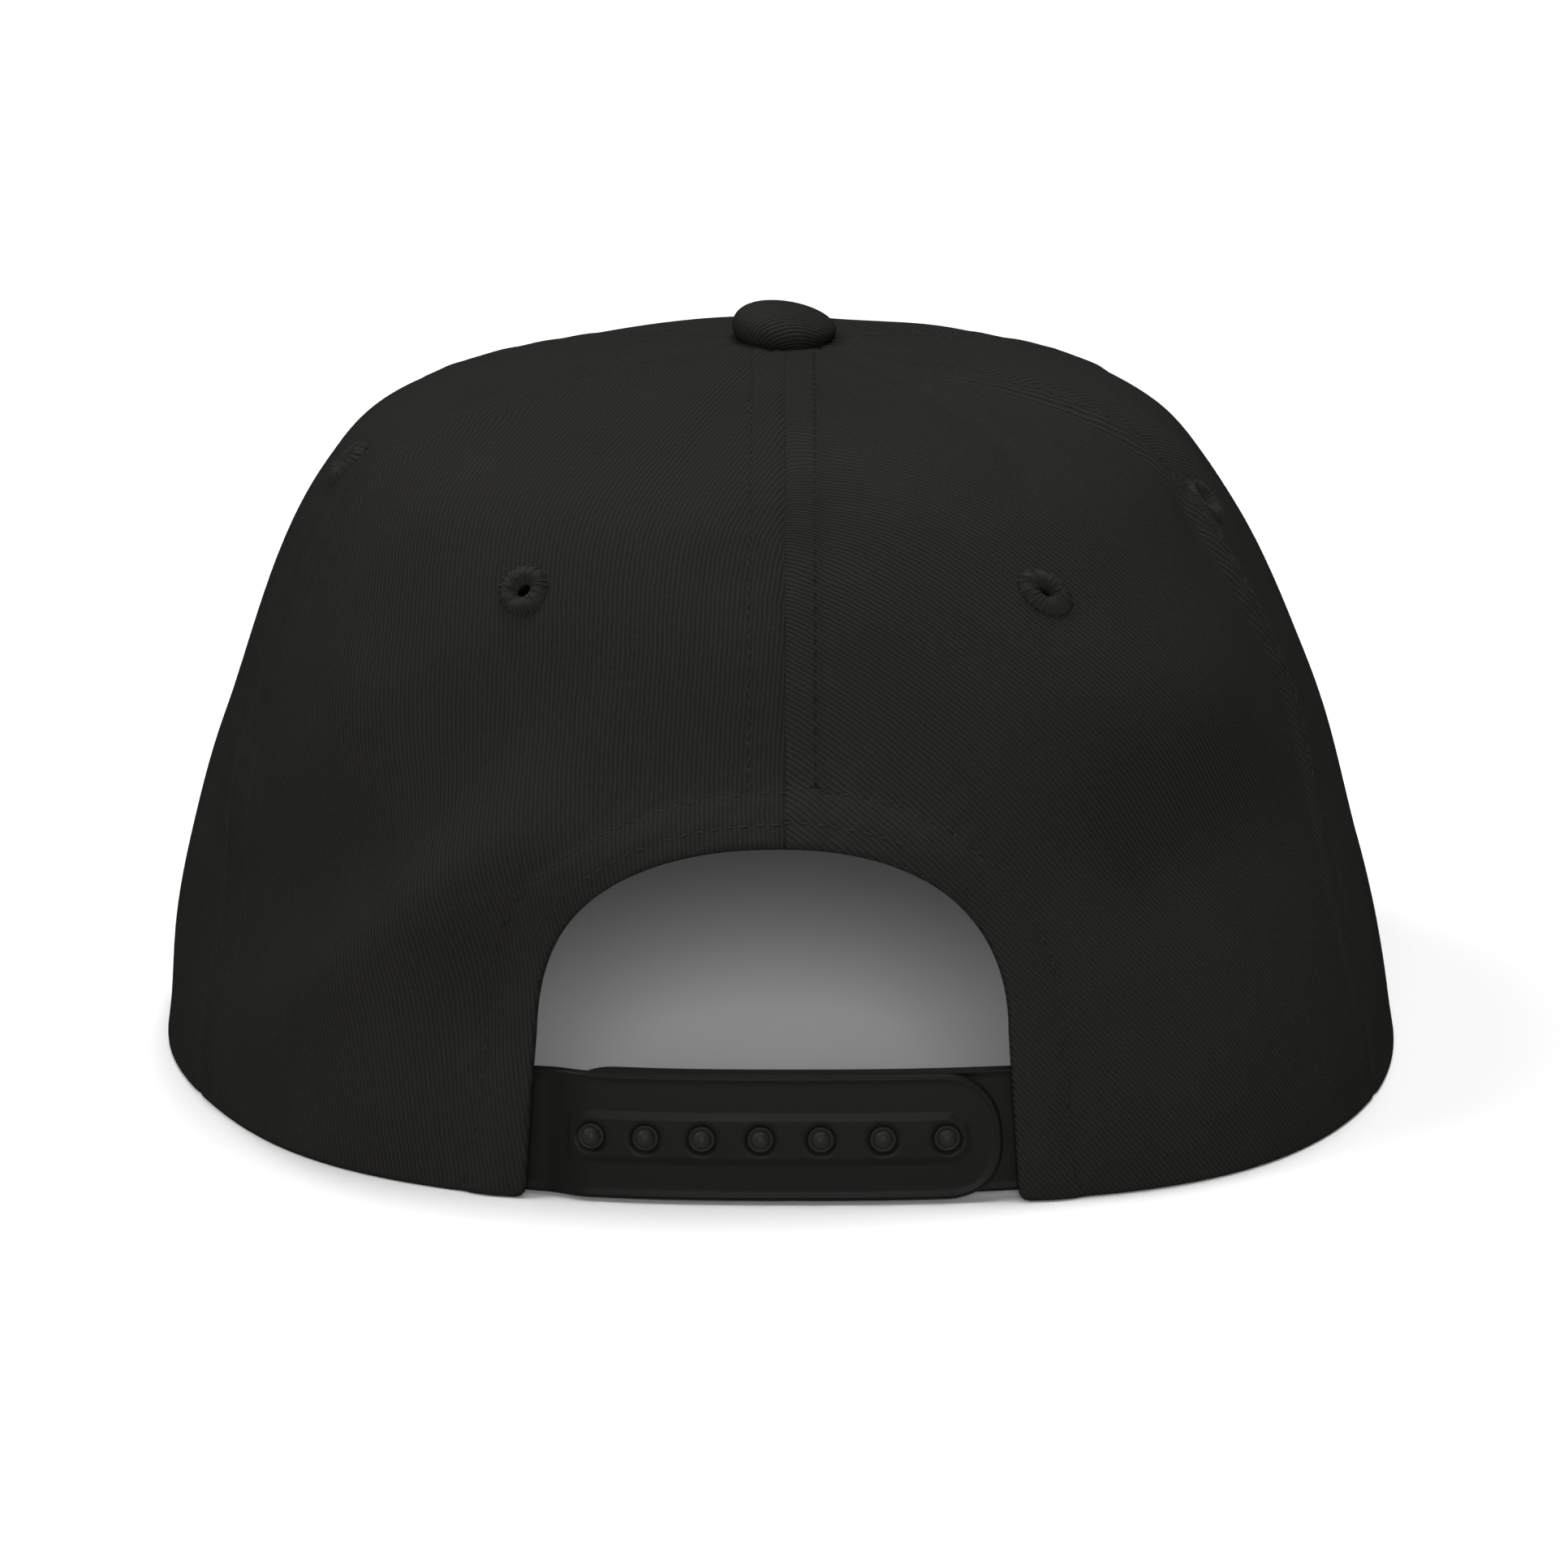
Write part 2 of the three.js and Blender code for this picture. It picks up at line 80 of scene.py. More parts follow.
# Crown sections: half widths to the wearer's left and right, depths to the back and front of the
# section's middle, and where that middle lies behind the axis.
SECTIONS = table("height left right back front middle",
    (0, 97, 95.5, 90, 92, 0),
    (20, 95, 92, 88, 90, 0),
    (40, 90.3, 87, 84, 86.5, 0),
    (58, 84.5, 81.5, 78.5, 81.5, 0),
    (74, 79, 74.5, 72, 74.5, 0),
    (88, 72, 66.5, 65, 65, -0.5),
    (97, 63.5, 58.5, 57, 52.5, -1),
    (103.2, 46, 46, 43.5, 36.5, -2),
    (107.2, 24.5, 24.5, 25, 20, -3),
    (109, 0, 0, 0, 0, -3),
)
LAST_LEVEL = len(SECTIONS) - 1
APEX = SECTIONS[-1]["height"]
BACK_SQUARENESS = 2.5
FRONT_SQUARENESS = 2
NORMAL_STEP = 0.004
TIP_RADIUS = 2.2

# Soft dents (-) and bulges (+). Angles run from the middle of the back to the wearer's left.
DENTS = table("angle height tilt long wide depth",
    (51, 38, -30, 31, 12, -3),
    (35, 41, -45, 24, 7.5, 3),
    (27, 31, -70, 15, 7, -2.2),
    (60, 5, -10, 23, 24, -2.3),
    (48, 68, -40, 20, 14, 1.6),
    (-42, 71, 5, 24, 12, 2.8),
    (-39, 47, 3, 26, 11, -3),
    (-38, 6, 0, 26, 22, 2.6),
    (-71, 98, 70, 9, 6.5, -1.6),
    (6, 50, 0, 32, 10, 3),
    (4, 93, 0, 24, 8, -2),
)
GIRTH_PER_DEGREE = 1.5
# Small folds of the cloth alone, with the same columns.
CREASES = table("angle height tilt long wide depth",
    (16, 102, 60, 9, 6, -0.7),
    (-39, 103.2, -50, 9, 3, -0.5),
    (-68, 98, -50, 12, 3.6, -1.7),
    (-78, 90, -60, 11, 6, 1),
    (5, 47, 0, 36, 9, 1),
    (51, 38, -30, 31, 12, -1.2),
    (35, 41, -45, 24, 7.5, 1),
    (27, 31, -70, 15, 7, -0.8),
    (-39, 47, 3, 26, 11, -1),
    (-42, 71, 5, 24, 12, 0.8),
)

BACK_SIDE_SEAM = 65
SIDE_FRONT_SEAM = 122
SEAM_SWAY = table("height span degrees",
    (60, 20, 2.5),
    (93, 11, -2.5),
)
# lean turns a panel's weave from up towards the wearer's left. relief 2 is the coarser looking cloth: the
# same cloth with deeper bumps, and its colour painted lighter and more contrasty as painted light.
PANELS = table("name lean relief start end",
    ("back_left", 12, 1, 0, BACK_SIDE_SEAM),
    ("side_left", 20, 1, BACK_SIDE_SEAM, SIDE_FRONT_SEAM),
    ("front_left", 20, 1, SIDE_FRONT_SEAM, 180),
    ("back_right", 36, 2, -BACK_SIDE_SEAM, 0),
    ("side_right", 20, 2, -SIDE_FRONT_SEAM, -BACK_SIDE_SEAM),
    ("front_right", 20, 1, -180, -SIDE_FRONT_SEAM),
)
# A panel's cloth beside each of its two seams. A row of topstitching lies so far from the seam, the
# doubled cloth stands higher by band out to the width, and swells by puff between. No row, no stitches.
# Rows end and puffs fade out at the height "from".
PLAIN_SIDE = {"row": 4.6, "stitch": "sunk", "from": 0, "width": 4.6, "band": 0.3, "puff": 0}
SEAM_SIDES = {
    ("back_left", "start"): {**PLAIN_SIDE, "row": 5.4, "stitch": "proud", "width": 5, "band": 0.45},
    ("back_left", "end"): {**PLAIN_SIDE, "stitch": "faint", "from": 45, "width": 7},
    ("side_left", "start"): {**PLAIN_SIDE, "stitch": "faint", "from": 45, "width": 5, "band": 0.2},
    ("back_right", "start"): {**PLAIN_SIDE, "row": 3.4, "stitch": "proud", "from": 50, "puff": 2},
    ("back_right", "end"): {**PLAIN_SIDE, "row": 4.8, "width": 5, "band": 0.4},
    ("side_right", "end"): {**PLAIN_SIDE, "row": None, "width": 3, "band": 0.1},
}
SEAM_KEYS = (("start", 1), ("end", -1))
SEAM_LOW_FADE = 8
PUFF_FADE = 25
# A puff ends where the seams come close together, at these depths of the crown's back.
PUFF_TOP = {"none": 22, "full": 45}
SEAM_FADE_RADIUS = 25
EDGE_ROWS = [0.12, 0.3, 0.55, 0.85, 1.3, 2, 2.8, 3.5, 4.1, 4.6, 5, 5.4, 5.9, 6.6, 7.4]
HOLE_ROWS = [0.4, 0.9]
CLOTH_SPACING = 0.85

# The arched opening at the back, seen straight on, and the fold of cloth round it.
ARCH = {"middle": 1.9, "half_top": 35, "half_rim": 36.6, "spring": 25, "top": 53}
ARCH_SQUARENESS = 2.25
ARCH_CORNER = 1.5
# The hem's inner row of stitches ends at inner_reach to each side of the seam.
HEM = {"row": 7.9, "inner_row": 3.2, "clear": 0.5, "band": 0.4, "puff": 0.35, "groove": 0.26}
INNER_REACH = {"back_left": 34, "back_right": 16}

EYELETS = table("name angle height tilt long wide hole_long hole_wide",
    ("back_left", 30, 86, 50, 1.02, 0.98, 1.25, 0.85),
    ("back_right", -32, 85.5, 135, 1.2, 0.85, 0.95, 0.55),
    ("side_left", 75, 93.7, 90, 1.05, 0.95, 1, 0.8),
    ("side_right", -71.5, 89, 120, 1.1, 0.95, 1.3, 1.2),
    ("front_left", 150, 88, 90, 1, 1, 1, 0.9),
    ("front_right", -150, 88, 90, 1, 1, 1, 0.9),
)
EYELET = {"outer": 3.75, "crest": 2.5, "hole": 1.1, "rise": 0.95, "drill": 1.9}
EYELET_THREADS = 58
EYELET_SIDES = 72
EYELET_THREAD_THICKNESS = 0.34
THREAD_SIDES = 6

BUTTON = {"radius": 8, "half_height": 3.85, "centre_rise": 1.5, "lean": 0.07, "skew": 1.2,
          "weave_lean": -104.5}
BUTTON_SIDES = 144

BILL = {"corner": 118, "thickness": 3.2, "length": 70, "arch": 5, "half_width": 88, "weave_lean": 25}
BILL_HANDLES = {"outward": 97, "forward": 105, "across": 62}
# Parts of the way from the bill's root to its edge, close together where it bends most.
BILL_STEPS = [0, 0.015, 0.04, 0.08, 0.13, 0.19, 0.26, 0.34, 0.42, 0.5, 0.58, 0.66, 0.74, 0.81, 0.87, 0.92,
              0.96, 1]
BILL_COLUMNS = 200
BILL_STITCH_ROWS = [4, 9, 14, 19, 24, 29, 34, 39]
RIM_LIFT_START = 103
RIM_LIFT_FADE = 40
LIFT_CLEARANCE = 0.3

STRAP = {"bottom": 0.6, "top": 19.6, "thickness": 1.4, "tucked_depth": 2.5, "free_depth": 0.8}
OUTER_STRAP = {"tucked": 50, "cloth_edge": 36.2, "free": 29.5, "end": -32.8}
INNER_STRAP = {"tucked": -47, "end": 35, "thickness": 1.2, "raise": 0.5}
STUDS = {"count": 7, "first": 29, "pitch": 8, "growth": 0.15, "height": 9.9}
# The collar is the stud's foot, which fills the hole to a little below the strap's face.
STUD = {"radius": 1.5, "hole": 1.98, "root": 0.4, "proud": 0.8, "dome": 1.3, "collar": 1.94}
HOLE_DISH = {"width": 0.55, "depth": 0.42}
STRAP_END_SQUARENESS = 2.4
STRAP_BEAD = {"middle": 0.62, "half": 0.5, "rise": 0.32}
STRAP_BAND = {"start": 32.3, "end": -27.6, "half": 3.4, "rise": 0.35, "edge": 0.3}
STRAP_EDGE_ROUND = 0.45
STRAP_EDGE_ROWS = [0.1, 0.25, 0.5, 0.8, 1.1, 1.5, 1.9, 2.3, 2.8]
STRAP_HOLE_ROWS = [0.12, 0.3, 0.6]
STRAP_SPACING = 0.6
STRAP_HOLE_SIDES = 32
STUD_SIDES = 28

CLOTH_TINT = (1.02, 1, 0.915)
PLASTIC_TINT = (1.02, 1, 0.88)

FLOOR = {"radius": 8000, "height": -0.02, "sides": 64}
# The camera and the light inside the crown are in metres and watts. aim is how far to the wearer's
# left and how high the camera looks at the crown's axis.
CAMERA = {"tilt": 16.3, "distance": 1.3, "height": 0.05, "aim": (0.00013, 0.0379), "lens": 191.4}
HOLLOW_LIGHT = {"size": 0.08, "energy": 0.018, "place": (0, 15, 75)}
SKY_STRENGTH = 0.15
# side is a light's direction, in degrees from the camera's side towards the wearer's left.
SUNS = table("name side elevation spread strength",
    ("left_light", 88, 50, 25, 2.5),
    ("overhead_light", -155, 76, 35, 5.2),
    ("front_light", 0, 20, 25, 2.9),
)

# turn is how far each stitch slants from its row, to one side and the other by turns. pit is how far
# the painted shade of the needle holes lies beside the thread, and the farther it lies, the less it darkens
# the cloth.
STITCHES = {
    "proud": {"pitch": 1.95, "length": 1.75, "thickness": 0.32, "sink": 0.02, "turn": 20, "needle_pit_shade": 0.12},
    "sunk": {"pitch": 2.35, "length": 1.7, "thickness": 0.2, "sink": 0.14, "turn": 0, "needle_pit_shade": 0},
    "hem": {"pitch": 2.2, "length": 1.8, "thickness": 0.32, "sink": 0.0, "turn": 7, "needle_pit_shade": 0.05},
    "faint": {"pitch": 2.2, "length": 1.5, "thickness": 0.17, "sink": 0.12, "turn": 4, "needle_pit_shade": 0.24},
}
# A distance beyond every row of stitches.
FAR = 50


def smoothstep(value, low, high):
    part = np.clip((value - low) / (high - low), 0, 1)
    return part * part * (3 - 2 * part)


def bump(value, middle, width):
    return np.exp(-(((value - middle) / width) ** 2))


def section(column, level):
    """A section value between the rows. Past the last row the crown mirrors itself."""
    rows = [row[column] for row in SECTIONS]
    mirror = 1 if column in ("height", "middle") else -1
    rows = np.array([2 * rows[0] - rows[1]] + rows + [mirror * rows[-2]], float)
    level = np.asarray(level, float)
    start = np.clip(np.floor(level), 0, LAST_LEVEL - 1).astype(int)
    part = level - start
    a, b, c, d = (rows[start + step] for step in range(4))
    square = a - 2.5 * b + 2 * c - 0.5 * d
    cube = (d - a) / 2 + 1.5 * (b - c)
    return b + part * ((c - a) / 2 + part * (square + part * cube))


LEVELS = np.linspace(0, LAST_LEVEL, 4000)
LEVEL_HEIGHTS = section("height", LEVELS)
TIP_LEVEL = float(np.interp(-TIP_RADIUS, -section("back", LEVELS), LEVELS))


def level_at(height):
    return np.interp(height, LEVEL_HEIGHTS, LEVELS)


def bill_underside(x):
    return BILL["arch"] * np.maximum(0, 1 - (x / BILL["half_width"]) ** 2)


def rim_lift(angle, x):
    blend = smoothstep(np.abs(np.degrees(angle)), RIM_LIFT_START, BILL["corner"] - 1)
    return blend * (bill_underside(x) + BILL["thickness"] + LIFT_CLEARANCE)


def dent_depth(dents, angle, height):
    depth = 0
    for dent in dents:
        across = (np.degrees(angle) - dent["angle"]) * GIRTH_PER_DEGREE
        up = height - dent["height"]
        tilt = math.radians(dent["tilt"])
        along = (across * math.cos(tilt) + up * math.sin(tilt)) / dent["long"]
        over = (up * math.cos(tilt) - across * math.sin(tilt)) / dent["wide"]
        depth = depth + dent["depth"] * np.exp(-along**2 - over**2)
    return depth


def crown_point(angle, level):
    """Points of the crown's outer face, without the seams."""
    angle, level = np.broadcast_arrays(np.asarray(angle, float), np.asarray(level, float))
    sin, cos = np.sin(angle), np.cos(angle)
    squareness = np.where(cos > 0, BACK_SQUARENESS, FRONT_SQUARENESS)
    stretch = (np.abs(sin) ** squareness + np.abs(cos) ** squareness) ** (-1 / squareness)
    half = np.where(sin > 0, section("left", level), section("right", level))
    depth = np.where(cos > 0, section("back", level), section("front", level))
    height = section("height", level)
    push = dent_depth(DENTS, angle, height)
    x = half * sin * stretch + push * sin
    y = depth * cos * stretch + push * cos + section("middle", level)
    fade = np.maximum(0, 1 - height / RIM_LIFT_FADE) ** 2
    return np.stack([x, y, height + rim_lift(angle, x) * fade], axis=-1)


def crown_normal(angle, level):
    step = NORMAL_STEP
    lower = crown_point(angle, np.maximum(np.asarray(level) - step, 0))
    upper = crown_point(angle, np.minimum(np.asarray(level) + step, LAST_LEVEL - step))
    across = crown_point(np.asarray(angle) + step, level) - crown_point(np.asarray(angle) - step, level)
    normal = np.cross(upper - lower, across)
    return normal / np.linalg.norm(normal, axis=-1, keepdims=True)


def crown_face(angle, level, offset):
    """The crown's face moved along its normal, negative inwards."""
    return crown_point(angle, level) + crown_normal(angle, level) * np.asarray(offset)[..., None]


def seam_angle(seam, level):
    degrees = np.full(np.shape(level), float(seam))
    if abs(seam) == BACK_SIDE_SEAM:
        height = section("height", level)
        for sway in SEAM_SWAY:
            degrees += math.copysign(sway["degrees"], seam) * bump(height, sway["height"], sway["span"])
    return np.radians(degrees)


def angle_at(x, level):
    """The angle near the back at which the crown passes a place across."""
    x = np.asarray(x, float)
    low, high = np.full(x.shape, math.radians(-60)), np.full(x.shape, math.radians(60))
    for _ in range(40):
        middle = (low + high) / 2
        short = crown_point(middle, level)[..., 0] < x
        low, high = np.where(short, middle, low), np.where(short, high, middle)
    return (low + high) / 2


def resample(path, spacing):
    """Evenly spaced points along an open path, both ends kept."""
    path = np.asarray(path, float)
    lengths = np.concatenate([[0], np.cumsum(np.linalg.norm(np.diff(path, axis=0), axis=1))])
    count = max(1, round(lengths[-1] / spacing))
    places = np.linspace(0, lengths[-1], count + 1)
    return np.stack([np.interp(places, lengths, path[:, k]) for k in range(path.shape[1])], axis=1)


def joined(paths, spacing):
    """One closed outline from paths that follow each other end to end."""
    return np.concatenate([resample(path, spacing)[:-1] for path in paths])


def segments(loops):
    starts = np.concatenate(loops)
    ends = np.concatenate([np.roll(loop, -1, axis=0) for loop in loops])
    return starts, ends


def distance_to(points, starts, ends):
    """How far each point is from the nearest of the segments."""
    along = ends - starts
    squared = np.maximum((along**2).sum(1), 1e-12)
    distances = []
    for block in np.array_split(points, max(1, len(points) // 1500)):
        offset = block[:, None] - starts
        part = np.clip((offset * along).sum(2) / squared, 0, 1)
        gap = offset - part[..., None] * along
        distances.append(np.sqrt((gap**2).sum(2)).min(1))
    return np.concatenate(distances)


def is_inside(points, starts, ends):
    """Whether each point lies inside the loops, by the number of edges to its right."""
    inside = []
    for block in np.array_split(points, max(1, len(points) // 1500)):
        x, y = block[:, :1], block[:, 1:]
        crosses = (starts[:, 1] > y) != (ends[:, 1] > y)
        rise = np.where(crosses, ends[:, 1] - starts[:, 1], 1)
        at = starts[:, 0] + (y - starts[:, 1]) * (ends[:, 0] - starts[:, 0]) / rise
        inside.append((crosses & (at > x)).sum(1) % 2 == 1)
    return np.concatenate(inside)


def edge_rows(loop, rows):
    """Points inside a loop at set distances from it. The cloth lies left of the loop."""
    direction = np.roll(loop, -1, axis=0) - np.roll(loop, 1, axis=0)
    direction /= np.linalg.norm(direction, axis=1, keepdims=True)
    normal = np.stack([-direction[:, 1], direction[:, 0]], axis=1)
    return [(loop + normal * row, row) for row in rows]


def plate(outline, holes, rows, hole_rows, spacing):
    """Points and triangles that fill an outline, finer along its edges. Holes turn clockwise."""
    loops = [outline] + holes
    starts, ends = segments(loops)
    points = [np.concatenate(loops)]
    placed = edge_rows(outline, rows)
    for hole in holes:
        placed += edge_rows(hole, hole_rows)
    for row_points, row in placed:
        keep = distance_to(row_points, starts, ends) > row * 0.97
        points.append(row_points[keep & is_inside(row_points, starts, ends)])
    low, high = outline.min(0), outline.max(0)
    columns = np.arange(low[0], high[0], spacing)
    lines = np.arange(low[1], high[1], spacing * math.sqrt(3) / 2)
    grid_x, grid_y = np.meshgrid(columns, lines)
    grid_x[1::2] += spacing / 2
    grid = np.stack([grid_x.ravel(), grid_y.ravel()], axis=1)
    grid = grid[is_inside(grid, starts, ends)]
    clear = distance_to(grid, *segments([outline])) > rows[-1] + spacing / 2
    if holes:
        clear &= distance_to(grid, *segments(holes)) > hole_rows[-1] + spacing / 2
    points = np.concatenate(points + [grid[clear]])
    edges = []
    first = 0
    for loop in loops:
        count = len(loop)
        edges += [(first + i, first + (i + 1) % count) for i in range(count)]
        first += count
    made = delaunay_2d_cdt([Vector(point) for point in points.tolist()], edges, [], 0, 1e-6)
    points = np.array([tuple(point) for point in made[0]])
    triangles = np.array(made[2])
    kept = is_inside(points[triangles].mean(1), starts, ends)
    return points, triangles[kept]


def shell(outer, inner, triangles):
    """Points and faces of a closed body between two faces with the same triangles."""
    count = len(outer)
    edges = triangles[:, [[0, 1], [1, 2], [2, 0]]].reshape(-1, 2)
    known = {(a, b) for a, b in edges.tolist()}
    rim = np.array([(a, b) for a, b in edges.tolist() if (b, a) not in known])
    walls = np.stack([rim[:, 1], rim[:, 0], rim[:, 0] + count, rim[:, 1] + count], axis=1)
    faces = triangles.tolist() + (triangles[:, ::-1] + count).tolist() + walls.tolist()
    return np.concatenate([outer, inner]), faces


def to_frame(points):
    return (np.asarray(points) + CROWN_ORIGIN) * MM


def linked(name, data):
    """A new object in the scene, for a mesh, a light or a camera."""
    thing = bpy.data.objects.new(name, data)
    bpy.context.scene.collection.objects.link(thing)
    return thing


def mesh_object(name, points, faces, maps):
    """A smooth mesh object from points in the crown's millimetres. maps are UV maps by name."""
    mesh = bpy.data.meshes.new(name)
    mesh.from_pydata(to_frame(points).tolist(), [], faces)
    corners = np.zeros(len(mesh.loops), dtype=np.int32)
    mesh.loops.foreach_get("vertex_index", corners)
    for map_name, values in maps.items():
        layer = mesh.uv_layers.new(name=map_name)
        layer.uv.foreach_set("vector", np.asarray(values, np.float32)[corners].ravel())
    mesh.shade_smooth()
    mesh.update()
    return linked(name, mesh)


def leaning(flat, degrees):
    """Flat places as distances across and along wales that lean from up towards the wearer's left."""
    lean = math.radians(degrees)
    u, v = flat[:, 0], flat[:, 1]
    across = u * math.cos(lean) - v * math.sin(lean)
    along = u * math.sin(lean) + v * math.cos(lean)
    return np.stack([across, along], axis=1)


def settle(piece, finish, slot, *nodes):
    """Gives a piece its finish, and hangs it on the model in place of its CAD nodes."""
    piece.data.materials.clear()
    piece.data.materials.append(finish)
    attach(piece, "root")
    if nodes:
        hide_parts(*nodes)


class Socket:
    """A shader socket. Arithmetic on it adds Math nodes."""

    def __init__(self, finish, socket):
        self.finish = finish
        self.socket = socket

    def math(self, operation, *values):
        sockets = dict(enumerate(values))
        return self.finish.node("ShaderNodeMath", {"operation": operation}, sockets)

    def __add__(self, other):
        return self.math("ADD", self, other)

    __radd__ = __add__

    def __mul__(self, other):
        return self.math("MULTIPLY", self, other)

    __rmul__ = __mul__

    def __sub__(self, other):
        return self.math("SUBTRACT", self, other)

    def __rsub__(self, other):
        return self.math("SUBTRACT", other, self)

    def __pow__(self, other):
        return self.math("POWER", self, other)

    def wave(self):
        """A smooth wave from 0 to 1, one for each whole number."""
        return 0.5 + 0.5 * self.math("SINE", self * (2 * math.pi))

    def floor(self):
        return self.math("FLOOR", self)

    def spike(self, width):
        """1 where the number is 0, falling to 0 within a few widths."""
        return self.math("POWER", math.e, -1 / width**2 * (self * self))


class Finish:
    """A material under construction round its Principled shader."""

    def __init__(self, name, **constants):
        self.material = bpy.data.materials.new(name)
        self.material.use_nodes = True
        self.tree = self.material.node_tree
        self.surface = self.tree.nodes["Principled BSDF"]
        for socket, value in constants.items():
            self.surface.inputs[socket.replace("_", " ")].default_value = value

    def feed(self, socket, value):
        if isinstance(value, Socket):
            self.tree.links.new(value.socket, socket)
        else:
            socket.default_value = value

    def node(self, kind, settings, sockets, output=0):
        node = self.tree.nodes.new(kind)
        for name, value in settings.items():
            setattr(node, name, value)
        for key, value in sockets.items():
            self.feed(node.inputs[key], value)
        return Socket(self, node.outputs[output])

    def map(self, name):
        """A UV map as a vector and as its two numbers."""
        vector = self.node("ShaderNodeUVMap", {"uv_map": name}, {})
        split = self.node("ShaderNodeSeparateXYZ", {}, {"Vector": vector})
        return vector, split, Socket(self, split.socket.node.outputs[1])

    def place(self):
        """Where a point lies on its object."""
        return self.node("ShaderNodeTexCoord", {}, {}, output=3)

    def noise(self, vector, scale, detail=2.0):
        return self.node("ShaderNodeTexNoise", {}, {"Vector": vector, "Scale": scale, "Detail": detail})

    def mix(self, factor, first, second):
        """A colour between two colours."""
        settings = {"data_type": "RGBA", "clamp_factor": True}
        return self.node("ShaderNodeMix", settings, {0: factor, 6: first, 7: second}, output=2)

    def bump(self, height, distance):
        sockets = {"Strength": 1.0, "Distance": distance, "Height": height}
        self.feed(self.surface.inputs["Normal"], self.node("ShaderNodeBump", {}, sockets))

    def colour(self, socket):
        self.feed(self.surface.inputs["Base Color"], socket)


def tinted(level, tint):
    return (level * tint[0], level * tint[1], level * tint[2], 1)


def twill(name, pitch, light, dark, relief):
    """Woven twill: slanting wales of short floats, with painted shade in the grooves and pits between them.
    """
    finish = Finish(name, Roughness=0.95, Specular_IOR_Level=0.0)
    vector, u, v = finish.map("weave")
    drift = finish.noise(vector, 0.22) - 0.5
    across = (u + drift * 0.5) * (1 / pitch)
    along = v * (1 / (0.8 * pitch))
    ridge = across.wave()
    float_wave = (along + across.floor() * 0.37).wave()
    weave = ridge * (0.7 + 0.3 * float_wave)
    fibre = finish.noise(vector, 5.0, 3.0)
    cloud = finish.noise(vector, 0.06, 3.0)
    speck = finish.noise(vector, 1.3, 2.0)
    # Painted shade: the grooves between the wales are darker in the colour as well as in the bump. Fibre,
    # cloud and speck are the cloth's own random tone.
    tone = weave * 0.6 + fibre * 0.35 + cloud * 0.3 + speck * 0.4 - 0.4
    _, reach, place = finish.map("stitching")
    # Painted shade: the cloth is darkened at the needle holes beside each row of stitches, and the same mask
    # sinks the bump.
    needle_pit_shade = reach.spike(0.22) * place.wave() ** 0.8
    tone = tone - needle_pit_shade
    finish.colour(finish.mix(tone, tinted(dark, CLOTH_TINT), tinted(light, CLOTH_TINT)))
    finish.bump(weave + fibre * 0.5 + speck * 0.3 - needle_pit_shade, relief * MM)
    return finish.material


def sewing_thread(name):
    finish = Finish(name, Roughness=0.8, Specular_IOR_Level=0.03)
    vector = finish.place()
    strand = finish.noise(vector, 2200.0, 2.0)
    cloud = finish.noise(vector, 120.0, 2.0)
    tone = strand * 0.6 + cloud * 0.6 - 0.1
    finish.colour(finish.mix(tone, tinted(0.006, CLOTH_TINT), tinted(0.0155, CLOTH_TINT)))
    finish.bump(strand, 0.05 * MM)
    return finish.material


def strap_plastic(name):
    finish = Finish(name, Specular_IOR_Level=0.055)
    vector = finish.place()
    grain = finish.noise(vector, 1800.0, 2.0)
    cloud = finish.noise(vector, 90.0, 3.0)
    # Painted light: the studs, marked 1 in the stud map, are painted lighter than the strap, as if lit from
    # above, though they are the same plastic.
    _, stud, _ = finish.map("stud")
    dark, light = tinted(0.003, PLASTIC_TINT), tinted(0.0092, PLASTIC_TINT)
    finish.colour(finish.mix(cloud * 0.15 + stud, dark, light))
    finish.feed(finish.surface.inputs["Roughness"], 0.4 + 0.16 * cloud)
    finish.bump(grain, 0.012 * MM)
    return finish.material


def studio_floor(name):
    finish = Finish(name, Roughness=0.8)
    vector = finish.place()
    cloud = finish.noise(vector, 3.0, 2.0)
    finish.colour(finish.mix(cloud, (0.445, 0.445, 0.445, 1), (0.465, 0.465, 0.465, 1)))
    return finish.material


CLOTH = {
    1: twill("crown_twill", pitch=0.68, light=0.0138, dark=0.007, relief=0.1),
    # The coarse copy is the same cloth with deeper bumps. Its colour is painted lighter and more contrasty,
    # as painted light.
    2: twill("crown_twill_coarse_painted_light", pitch=0.68, light=0.0155, dark=0.0078, relief=0.2),
}
BUTTON_CLOTH = twill("button_twill", pitch=0.62, light=0.0185, dark=0.0055, relief=0.15)
THREAD = sewing_thread("sewing_thread")
PLASTIC = strap_plastic("strap_plastic")


